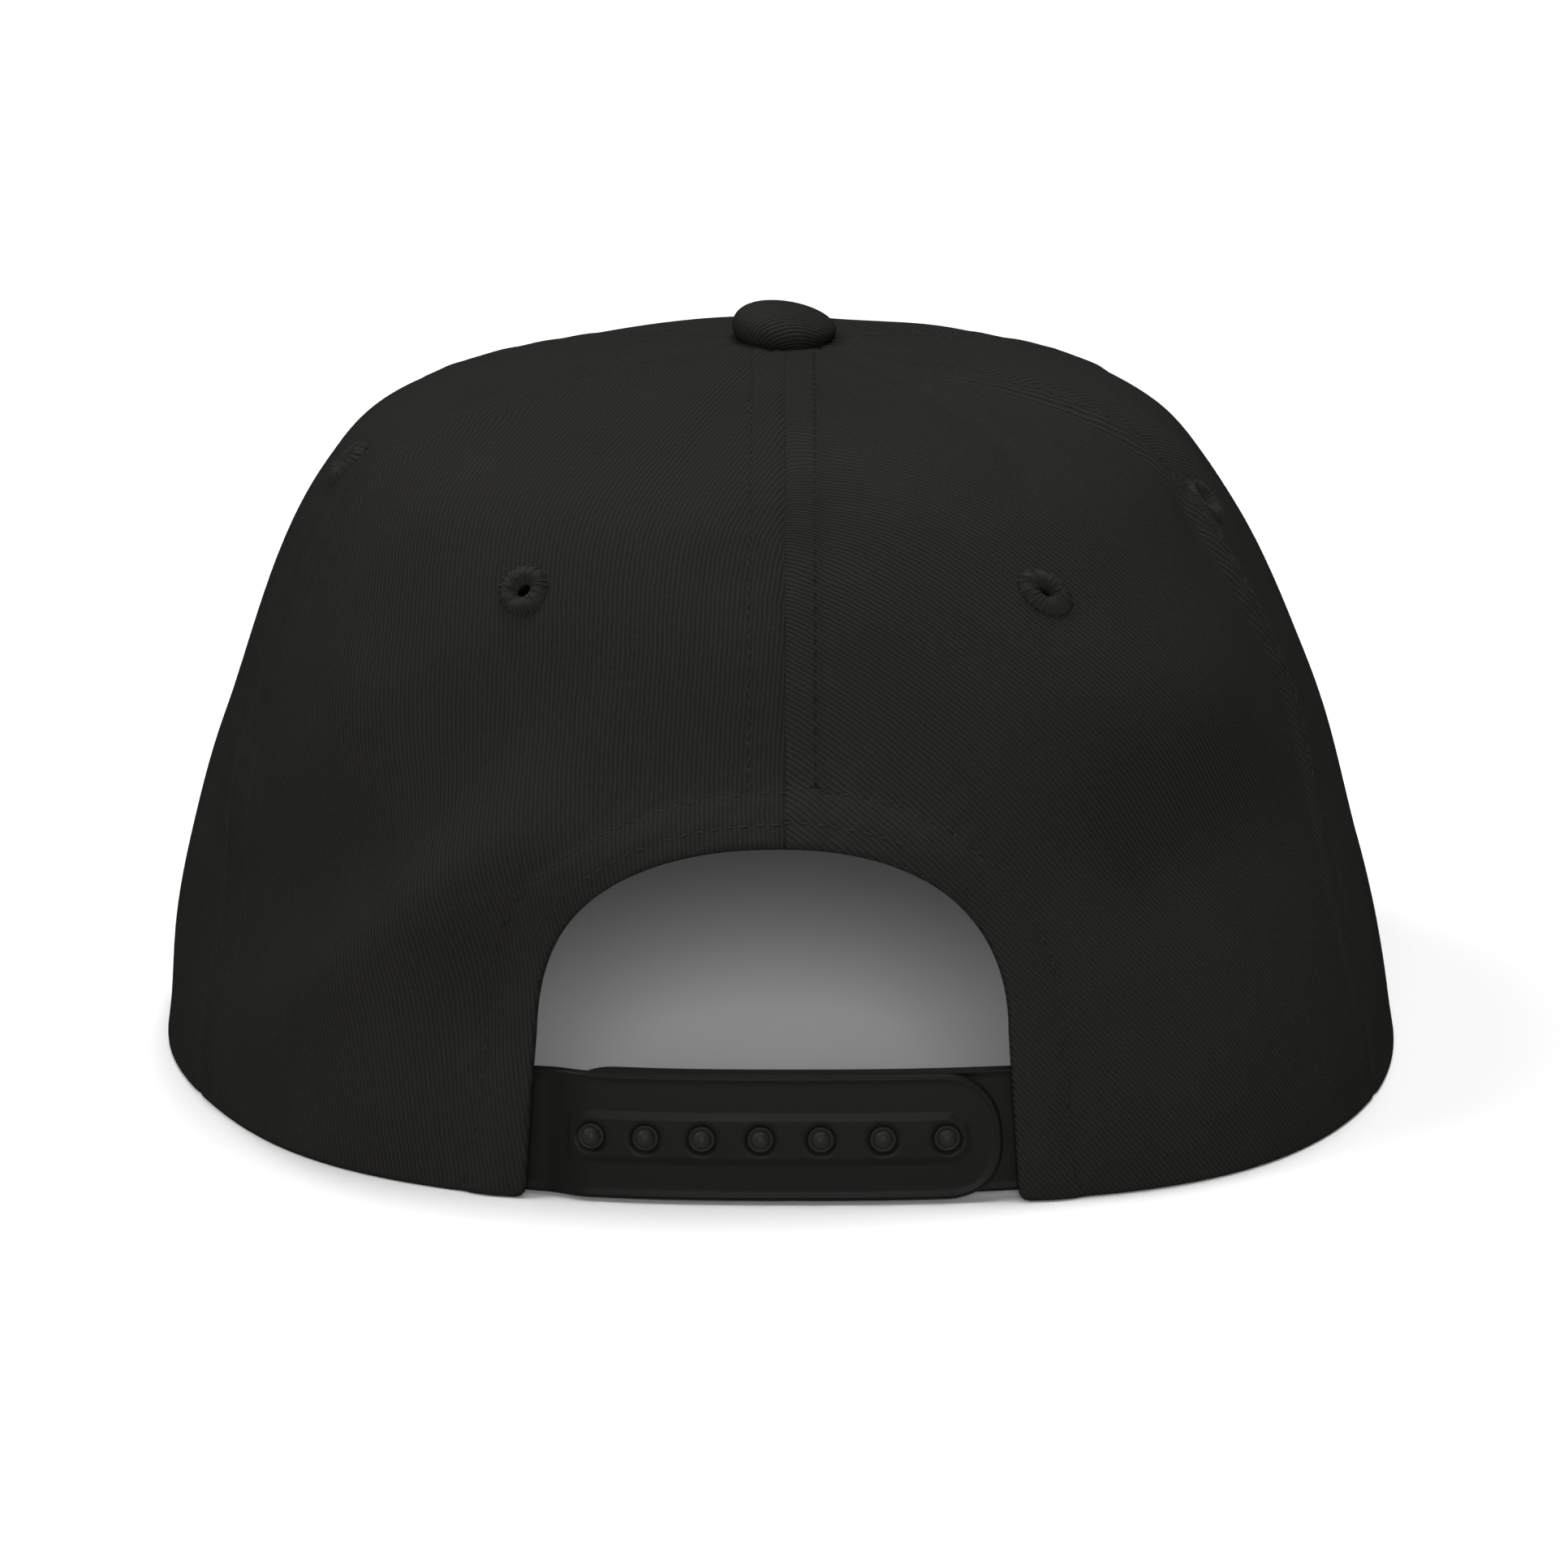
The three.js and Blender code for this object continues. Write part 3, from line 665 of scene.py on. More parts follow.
class Panel:
    """A crown panel laid out flat: u across from its middle line, v up along the cloth."""

    def __init__(self, row):
        self.row = row
        self.levels = np.linspace(0, TIP_LEVEL, 200)
        trim = -PANEL_OVERLAP / 2 / section("back", self.levels)
        start = seam_angle(row["start"], self.levels) + trim
        end = seam_angle(row["end"], self.levels) - trim
        self.middle = (start + end) / 2
        self.half_turn = (end - start) / 2
        across = self.middle[:, None] + self.half_turn[:, None] * np.linspace(-1, 1, 33)
        points = crown_point(across, self.levels[:, None])
        self.half_width = np.linalg.norm(np.diff(points, axis=1), axis=2).sum(1) / 2
        climb = np.linalg.norm(np.diff(points[:, 16], axis=0), axis=1)
        self.up = np.concatenate([[0], np.cumsum(climb)])
        radius = sum(section(column, self.levels) for column in ("left", "right", "back")) / 3
        self.bend = np.clip(-2 * np.gradient(radius, self.up) / radius, 0, MOST_BEND)

    def half_at(self, level):
        return np.interp(level, self.levels, self.half_width)

    def up_at(self, level):
        return np.interp(level, self.levels, self.up)

    def spot(self, flat):
        """Angle, level and place from -1 to 1 across, for points of the flat panel."""
        level = np.interp(flat[:, 1], self.up, self.levels)
        across = flat[:, 0] / self.half_at(level)
        turn = np.interp(level, self.levels, self.half_turn)
        return np.interp(level, self.levels, self.middle) + across * turn, level, across

    def flat(self, angle, level):
        turn = np.interp(level, self.levels, self.half_turn)
        across = (angle - np.interp(level, self.levels, self.middle)) / turn
        return np.stack([across * self.half_at(level), self.up_at(level)], axis=-1)

    def pattern(self, flat):
        """The cloth as it was cut: lines that run level on the crown bend up towards its sides."""
        bend = np.maximum(np.interp(flat[:, 1], self.up, self.bend), 1e-6)
        turn = flat[:, 0] * bend
        return np.stack([np.sin(turn) / bend, flat[:, 1] + (1 - np.cos(turn)) / bend], axis=1)

    def side_row(self, key):
        return SEAM_SIDES.get((self.row["name"], key), PLAIN_SIDE)

    def side(self, sign, low=0.0):
        """The flat line of one seam, from a height above the rim to the tip."""
        levels = np.linspace(low, TIP_LEVEL, 200)
        return np.stack([sign * self.half_at(levels), self.up_at(levels)], axis=1)


def arch_line(side):
    """One half of the arch from its middle down to the rim, as places across and heights."""
    turns = np.linspace(math.pi / 2, 0, 60)
    power = 2 / ARCH_SQUARENESS
    rise = ARCH["top"] - ARCH["spring"]
    x = ARCH["half_top"] * np.abs(np.cos(turns)) ** power
    z = ARCH["spring"] + rise * np.abs(np.sin(turns)) ** power
    low = np.linspace(ARCH["spring"], ARCH_CORNER, 20)[1:]
    spread = (ARCH["half_rim"] - ARCH["half_top"]) * (ARCH["spring"] - low) / ARCH["spring"]
    corner = np.linspace(0, math.pi / 2, 8)[1:]
    x_corner = ARCH["half_rim"] + ARCH_CORNER * (1 - np.cos(corner))
    z_corner = ARCH_CORNER * (1 - np.sin(corner))
    x = np.concatenate([x, ARCH["half_top"] + spread, x_corner])
    z = np.concatenate([z, low, z_corner])
    return np.stack([ARCH["middle"] + side * x, z], axis=1)


def arch_on(panel):
    """The arch's edge on a back panel, flat, from the seam at the back to the rim."""
    side = 1 if panel.row["name"] == "back_left" else -1
    line = arch_line(side)
    if side < 0:
        line = np.concatenate([arch_line(1)[:12][::-1], line[1:]])
    level = level_at(line[:, 1])
    flat = panel.flat(angle_at(line[:, 0], level), level)
    half = np.interp(flat[:, 1], panel.up, panel.half_width)
    beyond = (flat[:, 0] + half) if side > 0 else (half - flat[:, 0])
    first = int(np.argmax(beyond > 0))
    if first > 0:
        part = beyond[first] / (beyond[first] - beyond[first - 1])
        start = flat[first] + (flat[first - 1] - flat[first]) * part
        flat = np.concatenate([[start], flat[first:]])
    else:
        start = flat[0] - (flat[1] - flat[0]) * beyond[0] / (flat[1, 0] - flat[0, 0])
        flat = np.concatenate([[start], flat])
    return flat


def rim_line(panel, start, end):
    places = np.linspace(start, end, 40)
    return np.stack([places, np.zeros(40)], axis=1)


def panel_paths(panel):
    """Flat paths round a panel, counter-clockwise: those at its bottom, then its end seam, tip and start
    seam. The third value is the arch's edge, or None on a panel without it."""
    half_rim = panel.half_width[0]
    name = panel.row["name"]
    arch = arch_on(panel) if name.startswith("back") else None
    start_low = end_low = 0.0
    if name == "back_left":
        bottom = [arch, rim_line(panel, arch[-1, 0], half_rim)]
        start_low = float(np.interp(arch[0, 1], panel.up, panel.levels))
    elif name == "back_right":
        bottom = [rim_line(panel, -half_rim, arch[-1, 0]), arch[::-1]]
        end_low = float(np.interp(arch[0, 1], panel.up, panel.levels))
    else:
        bottom = [rim_line(panel, -half_rim, half_rim)]
    end_side = panel.side(1, end_low)
    start_side = panel.side(-1, start_low)[::-1]
    tip = np.stack([end_side[-1], start_side[0]])
    return bottom, [end_side, tip, start_side], arch


def full_turn(count):
    """Evenly spaced angles round a circle."""
    return np.arange(count) / count * 2 * math.pi


def turned(profile, count):
    """Rings of points round an axis, one for each radius and height of a profile."""
    turns = full_turn(count)
    rings = [np.stack([r * np.cos(turns), r * np.sin(turns), np.full(count, z)], axis=1) for r, z in profile]
    return np.concatenate(rings)


def circle(middle, radius, count):
    """A flat circle that turns clockwise, as holes do."""
    turns = -full_turn(count)
    return middle + radius * np.stack([np.cos(turns), np.sin(turns)], axis=1)


def eyelet_hole(panel):
    for eyelet in EYELETS:
        if eyelet["name"] == panel.row["name"]:
            level = level_at(eyelet["height"])
            return circle(panel.flat(math.radians(eyelet["angle"]), level), EYELET["drill"], 24)


def fold(reach, radius):
    """How far a face falls back towards the middle of the wall beside a rounded edge."""
    near = np.clip(1 - reach / radius, 0, 1)
    return radius * (1 - np.sqrt(1 - near**2))


def seam_rise(reach, level, side):
    """Height of the doubled cloth beside a seam, over the plain crown."""
    band = side["band"] * (1 - smoothstep(reach, side["width"], side["width"] + 1))
    puff = side["puff"] * bump(reach, side["width"] * 0.55, side["width"] * 0.5)
    height = section("height", level)
    puff = puff * smoothstep(height, side["from"] - PUFF_FADE, side["from"] + PUFF_FADE)
    puff = puff * smoothstep(section("back", level), PUFF_TOP["none"], PUFF_TOP["full"])
    return (band + puff) * smoothstep(height, 0, SEAM_LOW_FADE)


def hem_rise(reach):
    """Height of the folded cloth round the opening, with the groove that its stitches draw."""
    band = HEM["band"] * (1 - smoothstep(reach, HEM["row"], HEM["row"] + 1))
    puff = HEM["puff"] * bump(reach, HEM["row"] / 2, HEM["row"] / 3)
    return band + puff - HEM["groove"] * bump(reach, HEM["row"], 0.7)


def cloth_wander(flat):
    """Slow small waves, as in any worn cloth."""
    u, v = flat[:, 0], flat[:, 1]
    return (0.14 * np.sin(u / 7.1 + 1.7 * np.sin(v / 13.3)) * np.sin(v / 9.2 + 0.6)
            + 0.08 * np.sin(u / 3.7 - v / 5.9 + 2.1))


def nearest_row(rows):
    """The stitching map: distance from the nearest row, and place along it counted in stitches.
    Each row is given as distances, places in millimetres and the name of its stitch."""
    reach = np.full(len(rows[0][0]), float(FAR))
    place = np.zeros(len(reach))
    for distance, along, stitch in rows:
        offset = np.hypot(distance, STITCHES[stitch]["needle_pit_shade"])
        nearer = offset < reach
        reach = np.where(nearer, offset, reach)
        place = np.where(nearer, along / STITCHES[stitch]["pitch"], place)
    return np.stack([reach, place], axis=1)


def no_stitching(points):
    """The stitching map of a piece without needle holes, and so without their painted shade."""
    return np.tile([float(FAR), 0.0], (len(points), 1))


def panel_rise(panel, flat, arch):
    """Height of the outer face over the plain crown, distance to the edge, and the stitching map."""
    angle, level, across = panel.spot(flat)
    half = panel.half_at(level)
    fade = np.minimum(1, section("back", level) / SEAM_FADE_RADIUS)
    height = section("height", level)
    rise = dent_depth(CREASES, angle, height)
    edge = flat[:, 1]
    from_arch = np.full(len(flat), float(FAR))
    rows = []
    if arch is not None:
        from_arch = distance_to(flat, arch[:-1], arch[1:])
        edge = np.minimum(from_arch, np.maximum(flat[:, 1], 0))
        rise += hem_rise(from_arch)
        rows.append((from_arch - HEM["row"], flat.sum(1), "hem"))
        inside = np.abs(flat[:, 0] - arch[0, 0]) < INNER_REACH[panel.row["name"]]
        rows.append((np.where(inside, from_arch - HEM["inner_row"], FAR), flat.sum(1), "hem"))
    for key, toward in SEAM_KEYS:
        side = panel.side_row(key)
        reach = np.maximum(0, (1 + toward * across) * half)
        groove = SEAM_GROOVE["depth"] * bump(reach, 0, SEAM_GROOVE["width"])
        rise += (seam_rise(reach, level, side) - groove) * fade
        if side["row"]:
            on_cloth = (from_arch > HEM["row"] + HEM["clear"]) & (height >= side["from"])
            rows.append((np.where(on_cloth, reach - side["row"], FAR), flat[:, 1], side["stitch"]))
    stitching = nearest_row(rows)
    rise -= 0.12 * bump(stitching[:, 0], 0, 0.5) * fade
    pucker = 0.07 * bump(stitching[:, 0], 0, 3) * np.sin(stitching[:, 1] * 2.3 + 1)
    rise += pucker + cloth_wander(flat) * smoothstep(edge, 0, 6)
    return rise, edge, stitching


def panel_mesh(panel):
    bottom, sides, arch = panel_paths(panel)
    outline = joined(bottom + sides, CLOTH_SPACING)
    hole = eyelet_hole(panel)
    flat, triangles = plate(outline, [hole], EDGE_ROWS, HOLE_ROWS, CLOTH_SPACING)
    angle, level, _ = panel.spot(flat)
    rise, edge, stitching = panel_rise(panel, flat, arch)
    edge_fold = fold(np.maximum(edge, 0), FOLD_ROUND)
    outer = crown_face(angle, level, rise - edge_fold)
    inner = crown_face(angle, level, edge_fold - WALL)
    points, faces = shell(outer, inner, triangles[:, ::-1])
    points[:, 2] = np.maximum(points[:, 2], 0)
    weave = leaning(panel.pattern(flat), panel.row["lean"])
    maps = {"weave": np.concatenate([weave, weave]), "stitching": np.concatenate([stitching, stitching])}
    piece = mesh_object("crown_cloth_" + panel.row["name"], points, faces, maps)
    settle(piece, CLOTH[panel.row["relief"]], "twill", "panel_" + panel.row["name"])


STITCH_ROWS = {stitch: [] for stitch in STITCHES}


def add_row(panel, flat, arch, stitch):
    """Keeps a row of topstitching that follows a flat path on a panel."""
    flat = resample(flat, 1.0)
    angle, level, _ = panel.spot(flat)
    rise, _, _ = panel_rise(panel, flat, arch)
    points = crown_face(angle, level, rise - STITCHES[stitch]["sink"])
    STITCH_ROWS[stitch].append((points, crown_normal(angle, level)))


def moved_left(path, reach):
    """A path moved sideways by a distance, to its left or, for a negative distance, to its right."""
    direction = np.gradient(path, axis=0)
    direction /= np.linalg.norm(direction, axis=1, keepdims=True)
    normal = np.stack([-direction[:, 1], direction[:, 0]], axis=1)
    return path + normal * reach


def seam_row(panel, key, arch):
    """The topstitching beside one of a panel's seams, down to the rim or to the hem of the arch."""
    side = panel.side_row(key)
    if not side["row"]:
        return
    levels = np.linspace(0.12, LAST_LEVEL - 1.25, 160)
    half = panel.half_at(levels)
    across = (half - side["row"]) * (-1 if key == "start" else 1)
    path = np.stack([across, panel.up_at(levels)], axis=1)
    kept = (half > side["row"] + 1) & (section("height", levels) > side["from"])
    if arch is not None:
        beside_arch = (key == "start") == (panel.row["name"] == "back_left")
        if beside_arch:
            kept &= path[:, 1] > arch[0, 1] + HEM["row"] + HEM["clear"]
    add_row(panel, path[kept], arch, side["stitch"])


def hem_rows(panel, arch):
    """The topstitching round the opening: one long row, and one nearer to the edge."""
    left_of_path = 1 if panel.row["name"] == "back_left" else -1
    add_row(panel, moved_left(arch[:-9], HEM["row"] * left_of_path)[1:], arch, "hem")
    near = np.abs(arch[:, 0] - arch[0, 0]) < INNER_REACH[panel.row["name"]]
    add_row(panel, moved_left(arch[near], HEM["inner_row"] * left_of_path)[1:], arch, "hem")


def panel_rows(panel):
    arch = panel_paths(panel)[2]
    seam_row(panel, "start", arch)
    seam_row(panel, "end", arch)
    if arch is not None:
        hem_rows(panel, arch)


class GeometryTree:
    """A Geometry Nodes tree under construction, with named inputs."""

    def __init__(self, name, inputs):
        self.group = bpy.data.node_groups.new(name, "GeometryNodeTree")
        face = self.group.interface
        face.new_socket("Geometry", in_out="INPUT", socket_type="NodeSocketGeometry")
        for socket_name, kind in inputs.items():
            face.new_socket(socket_name, in_out="INPUT", socket_type=kind)
        face.new_socket("Geometry", in_out="OUTPUT", socket_type="NodeSocketGeometry")
        self.input = self.group.nodes.new("NodeGroupInput")
        self.output = self.group.nodes.new("NodeGroupOutput")

    def given(self, name):
        return self.input.outputs[name]

    def node(self, kind, settings, sockets, output=0):
        node = self.group.nodes.new(kind)
        for name, value in settings.items():
            setattr(node, name, value)
        for key, value in sockets.items():
            if isinstance(value, bpy.types.NodeSocket):
                self.group.links.new(value, node.inputs[key])
            else:
                node.inputs[key].default_value = value
        return node.outputs[output]

    def math(self, operation, *values):
        return self.node("ShaderNodeMath", {"operation": operation}, dict(enumerate(values)))

    def end(self, geometry, material):
        whole = self.node("GeometryNodeRealizeInstances", {}, {"Geometry": geometry})
        done = self.node("GeometryNodeSetMaterial", {}, {"Geometry": whole, "Material": material})
        self.group.links.new(done, self.output.inputs[0])


def grown(piece, tree, values):
    """Runs a Geometry Nodes tree on a piece and keeps its result as the piece's plain mesh."""
    modifier = piece.modifiers.new("grow", "NODES")
    modifier.node_group = tree.group
    for item in tree.group.interface.items_tree:
        if item.in_out == "INPUT" and item.name in values:
            modifier[item.identifier] = values[item.name]
    layer = bpy.context.evaluated_depsgraph_get()
    mesh = bpy.data.meshes.new_from_object(piece.evaluated_get(layer))
    piece.modifiers.clear()
    piece.data = mesh
    mesh.shade_smooth()
    return piece


def bowed_thread(tree, places, resolution):
    """A round thread along one bow, given by x and z at its start, its middle and its end."""
    ends = [tree.node("ShaderNodeCombineXYZ", {}, {"X": x, "Z": z}) for x, z in places]
    bow = tree.node("GeometryNodeCurveQuadraticBezier", {},
                    {"Resolution": resolution, "Start": ends[0], "Middle": ends[1], "End": ends[2]})
    radius = tree.math("MULTIPLY", tree.given("Thickness"), 0.5)
    ring = tree.node("GeometryNodeCurvePrimitiveCircle", {"mode": "RADIUS"},
                     {"Resolution": THREAD_SIDES, "Radius": radius})
    return tree.node("GeometryNodeCurveToMesh", {}, {"Curve": bow, "Profile Curve": ring, "Fill Caps": True})


def stitch_tree():
    """Short bowed threads along every path, standing on the cloth that the path lies on."""
    tree = GeometryTree("stitch_row", {
        "Pitch": "NodeSocketFloat", "Length": "NodeSocketFloat", "Thickness": "NodeSocketFloat",
        "Turn": "NodeSocketFloat", "Seed": "NodeSocketInt", "Thread": "NodeSocketMaterial"})
    line = tree.node("GeometryNodeMeshToCurve", {}, {"Mesh": tree.given("Geometry")})
    line = tree.node("GeometryNodeResampleCurve", {"mode": "LENGTH"},
                     {"Curve": line, "Length": tree.given("Pitch")})
    half = tree.math("MULTIPLY", tree.given("Length"), 0.5)
    back = tree.math("MULTIPLY", half, -1.0)
    dip = tree.math("MULTIPLY", tree.given("Thickness"), -0.75)
    thread = bowed_thread(tree, ((back, dip), (0.0, tree.given("Thickness")), (half, dip)), 6)
    tangent = tree.node("GeometryNodeInputTangent", {}, {})
    facing = tree.node("GeometryNodeInputNamedAttribute", {"data_type": "FLOAT_VECTOR"}, {"Name": "facing"})
    turn = tree.node("FunctionNodeAlignRotationToVector", {"axis": "X"}, {"Vector": tangent})
    turn = tree.node("FunctionNodeAlignRotationToVector", {"axis": "Z", "pivot_axis": "X"},
                     {"Rotation": turn, "Vector": facing})
    index = tree.node("GeometryNodeInputIndex", {}, {})
    swing = tree.math("MULTIPLY_ADD", tree.math("MODULO", index, 2.0), 2.0, -1.0)
    slant = tree.math("MULTIPLY", swing, tree.given("Turn"))
    slant = tree.node("ShaderNodeCombineXYZ", {}, {"Z": slant})
    slant = tree.node("FunctionNodeEulerToRotation", {}, {"Euler": slant})
    turn = tree.node("FunctionNodeRotateRotation", {"rotation_space": "LOCAL"},
                     {"Rotation": turn, "Rotate By": slant})
    size = tree.node("FunctionNodeRandomValue", {"data_type": "FLOAT_VECTOR"},
                     {"Min": (0.9, 0.9, 0.8), "Max": (1.08, 1.1, 1.15), "Seed": tree.given("Seed")})
    rows = tree.node("GeometryNodeInstanceOnPoints", {},
                     {"Points": line, "Instance": thread, "Rotation": turn, "Scale": size})
    tree.end(rows, tree.given("Thread"))
    return tree


def stitched(name, rows, stitch, tree, seed):
    """One piece with a stitch row along each path of points with the cloth's facing."""
    points = np.concatenate([row[0] for row in rows])
    facing = np.concatenate([row[1] for row in rows])
    edges = []
    first = 0
    for row in rows:
        edges += [(first + i, first + i + 1) for i in range(len(row[0]) - 1)]
        first += len(row[0])
    mesh = bpy.data.meshes.new(name)
    mesh.from_pydata(to_frame(points).tolist(), edges, [])
    attribute = mesh.attributes.new("facing", "FLOAT_VECTOR", "POINT")
    attribute.data.foreach_set("vector", np.asarray(facing, np.float32).ravel())
    piece = linked(name, mesh)
    grown(piece, tree, {
        "Pitch": stitch["pitch"] * MM, "Length": stitch["length"] * MM,
        "Thickness": stitch["thickness"] * MM, "Turn": math.radians(stitch["turn"]),
        "Seed": seed, "Thread": THREAD})
    settle(piece, THREAD, "eyelet_thread")


def cloth_point(angle, level):
    """The crown's face with the small folds of the cloth."""
    return crown_face(angle, level, dent_depth(CREASES, angle, section("height", level)))


def seat(angle, height):
    """Origin and axes (across, up, out) of a place on the cloth, as seen from outside."""
    level = float(level_at(height))
    origin = cloth_point(angle, level)
    across = cloth_point(angle + 0.03, level) - cloth_point(angle - 0.03, level)
    out = np.cross(cloth_point(angle, level + 0.05) - cloth_point(angle, level - 0.05), across)
    out /= np.linalg.norm(out)
    across = np.cross(np.array([0, 0, 1]), out)
    across /= np.linalg.norm(across)
    return origin, np.stack([across, np.cross(out, across), out])


def ring_walls(rings, count, closed=False):
    """Faces between rings of points that follow each other, and from the last to the first if closed."""
    faces = []
    for ring in range(rings if closed else rings - 1):
        low, high = ring * count, (ring + 1) % rings * count
        for i in range(count):
            j = (i + 1) % count
            faces.append([low + i, low + j, high + j, high + i])
    return faces


def flipped(faces):
    return [face[::-1] for face in faces]


def eyelet_mound(radius):
    """Height of the sewn ring over the cloth at a distance from its middle."""
    rising = smoothstep(radius, EYELET["hole"] - 0.3, EYELET["crest"])
    falling = 1 - smoothstep(radius, EYELET["crest"], EYELET["outer"] + 0.1) ** 1.5
    return EYELET["rise"] * (rising * 1.15 - 0.15) * falling


def eyelet_body():
    """A turned ring: the mound, its underside and the barrel, as rings of points."""
    radii = list(np.linspace(EYELET["hole"], EYELET["outer"], 12))
    profile = [(radius, float(eyelet_mound(radius))) for radius in radii]
    profile += [(EYELET["outer"] - 0.3, -0.3), (EYELET["drill"] - 0.2, -0.3)]
    profile += [(EYELET["drill"] - 0.25, -WALL), (EYELET["hole"], -WALL)]
    return turned(profile, EYELET_SIDES), flipped(ring_walls(len(profile), EYELET_SIDES, closed=True))


def ring_tree():
    """Bowed threads set round a ring, from its hole over its crest to its outer edge."""
    tree = GeometryTree("sewn_ring", {
        "Threads": "NodeSocketInt", "Hole": "NodeSocketFloat", "Crest": "NodeSocketFloat",
        "Outer": "NodeSocketFloat", "Rise": "NodeSocketFloat", "Thickness": "NodeSocketFloat",
        "Seed": "NodeSocketInt", "Thread": "NodeSocketMaterial"})
    low = tree.math("MULTIPLY", tree.given("Rise"), -0.35)
    high = tree.math("MULTIPLY", tree.given("Rise"), 2.3)
    places = ((tree.given("Hole"), low), (tree.given("Crest"), high), (tree.given("Outer"), low))
    thread = bowed_thread(tree, places, 9)
    points = tree.node("GeometryNodePoints", {}, {"Count": tree.given("Threads")})
    index = tree.node("GeometryNodeInputIndex", {}, {})
    jitter = tree.node("FunctionNodeRandomValue", {"data_type": "FLOAT"},
                       {2: -0.35, 3: 0.35, "Seed": tree.given("Seed")}, output=1)
    part = tree.math("DIVIDE", tree.math("ADD", index, jitter), tree.given("Threads"))
    turn = tree.math("MULTIPLY", part, 2 * math.pi)
    rotation = tree.node("ShaderNodeCombineXYZ", {}, {"Z": turn})
    size = tree.node("FunctionNodeRandomValue", {"data_type": "FLOAT_VECTOR"},
                     {"Min": (0.94, 0.9, 0.85), "Max": (1.07, 1.2, 1.12), "Seed": tree.given("Seed")})
    ring = tree.node("GeometryNodeInstanceOnPoints", {},
                     {"Points": points, "Instance": thread, "Rotation": rotation, "Scale": size})
    whole = tree.node("GeometryNodeJoinGeometry", {}, {"Geometry": ring})
    join = whole.node
    tree.group.links.new(tree.given("Geometry"), join.inputs[0])
    tree.end(whole, tree.given("Thread"))
    return tree


def eyelet_piece(eyelet, tree, seed):
    points, faces = eyelet_body()
    mesh = bpy.data.meshes.new("sewn_eyelet_" + eyelet["name"])
    mesh.from_pydata((points * MM).tolist(), [], faces)
    piece = linked(mesh.name, mesh)
    grown(piece, tree, {
        "Threads": EYELET_THREADS, "Hole": (EYELET["hole"] - 0.1) * MM, "Crest": EYELET["crest"] * MM,
        "Outer": EYELET["outer"] * MM, "Rise": EYELET["rise"] * MM,
        "Thickness": EYELET_THREAD_THICKNESS * MM, "Seed": seed, "Thread": THREAD})
    mesh = piece.data
    local = np.zeros(len(mesh.vertices) * 3)
    mesh.vertices.foreach_get("co", local)
    local = local.reshape(-1, 3) / MM
    tilt = math.radians(eyelet["tilt"])
    turn = np.array([[math.cos(tilt), -math.sin(tilt)], [math.sin(tilt), math.cos(tilt)]])
    radius = np.linalg.norm(local[:, :2], axis=1)
    outward = smoothstep(radius, EYELET["hole"], EYELET["outer"])[:, None]
    hole = np.array([eyelet["hole_long"], eyelet["hole_wide"]])
    ring = np.array([eyelet["long"], eyelet["wide"]])
    local[:, :2] = local[:, :2] * (hole + (ring - hole) * outward) @ turn.T
    origin, axes = seat(math.radians(eyelet["angle"]), eyelet["height"])
    mesh.vertices.foreach_set("co", to_frame(origin + local @ axes).ravel())
    mesh.update()
    settle(piece, THREAD, "eyelet_thread", "eyelet_" + eyelet["name"])


def button_profile():
    """Radii and heights from the button's top round to its underside, and the length of cloth to each."""
    climbs = np.linspace(math.pi / 2 - 0.02, -0.62, 46)
    radii = BUTTON["radius"] * np.cos(climbs) ** 0.9
    heights = BUTTON["centre_rise"] + BUTTON["half_height"] * np.sin(climbs)
    radii = np.concatenate([radii, [3.0, 1.2]])
    heights = np.concatenate([heights, [0.2, -0.6]])
    steps = np.hypot(np.diff(radii), np.diff(heights))
    lengths = np.concatenate([[radii[0]], radii[0] + np.cumsum(steps)])
    return zip(radii, heights, lengths)


def button_piece():
    """The covered button: a flattened dome that leans a little, with its cloth pulled round."""
    count = BUTTON_SIDES
    turns = full_turn(count)
    ring_points = []
    weave = []
    for radius, height, length in button_profile():
        x = radius * np.cos(turns)
        y = radius * np.sin(turns)
        dome = max(0, height / (BUTTON["centre_rise"] + BUTTON["half_height"]))
        z = height + BUTTON["lean"] * x * dome
        ring_points.append(np.stack([x + BUTTON["skew"] * dome**2, y, z], axis=1))
        weave.append(length * np.stack([np.cos(turns), np.sin(turns)], axis=1))
    rings = len(ring_points)
    top = ring_points[0].mean(0) + [0, 0, 0.002]
    bottom = ring_points[-1].mean(0)
    points = np.concatenate(ring_points + [[top], [bottom]])
    weave = leaning(np.concatenate(weave + [[[0, 0]], [[0, 0]]]), BUTTON["weave_lean"])
    faces = flipped(ring_walls(rings, count))
    for i in range(count):
        j = (i + 1) % count
        faces.append([rings * count, i, j])
        faces.append([rings * count + 1, (rings - 1) * count + j, (rings - 1) * count + i])
    points = points + [0, BUTTON_MIDDLE_Y, APEX]
    piece = mesh_object("button_cover", points, faces, {"weave": weave, "stitching": no_stitching(points)})
    settle(piece, BUTTON_CLOTH, "twill", "top_button")


def bill_edge(part, side):
    """A point of the bill's edge, from a corner (0) to the middle of the front (1)."""
    corner = crown_point(math.radians(BILL["corner"]) * side, 0)[:2]
    front = -(SECTIONS[0]["front"] + BILL["length"])
    handles = [corner, np.array([side * BILL_HANDLES["outward"], -BILL_HANDLES["forward"]]),
               np.array([side * BILL_HANDLES["across"], front]), np.array([0, front])]
    weights = [(1 - part) ** 3, 3 * part * (1 - part) ** 2, 3 * part**2 * (1 - part), part**3]
    return sum(weight * handle for weight, handle in zip(weights, handles))


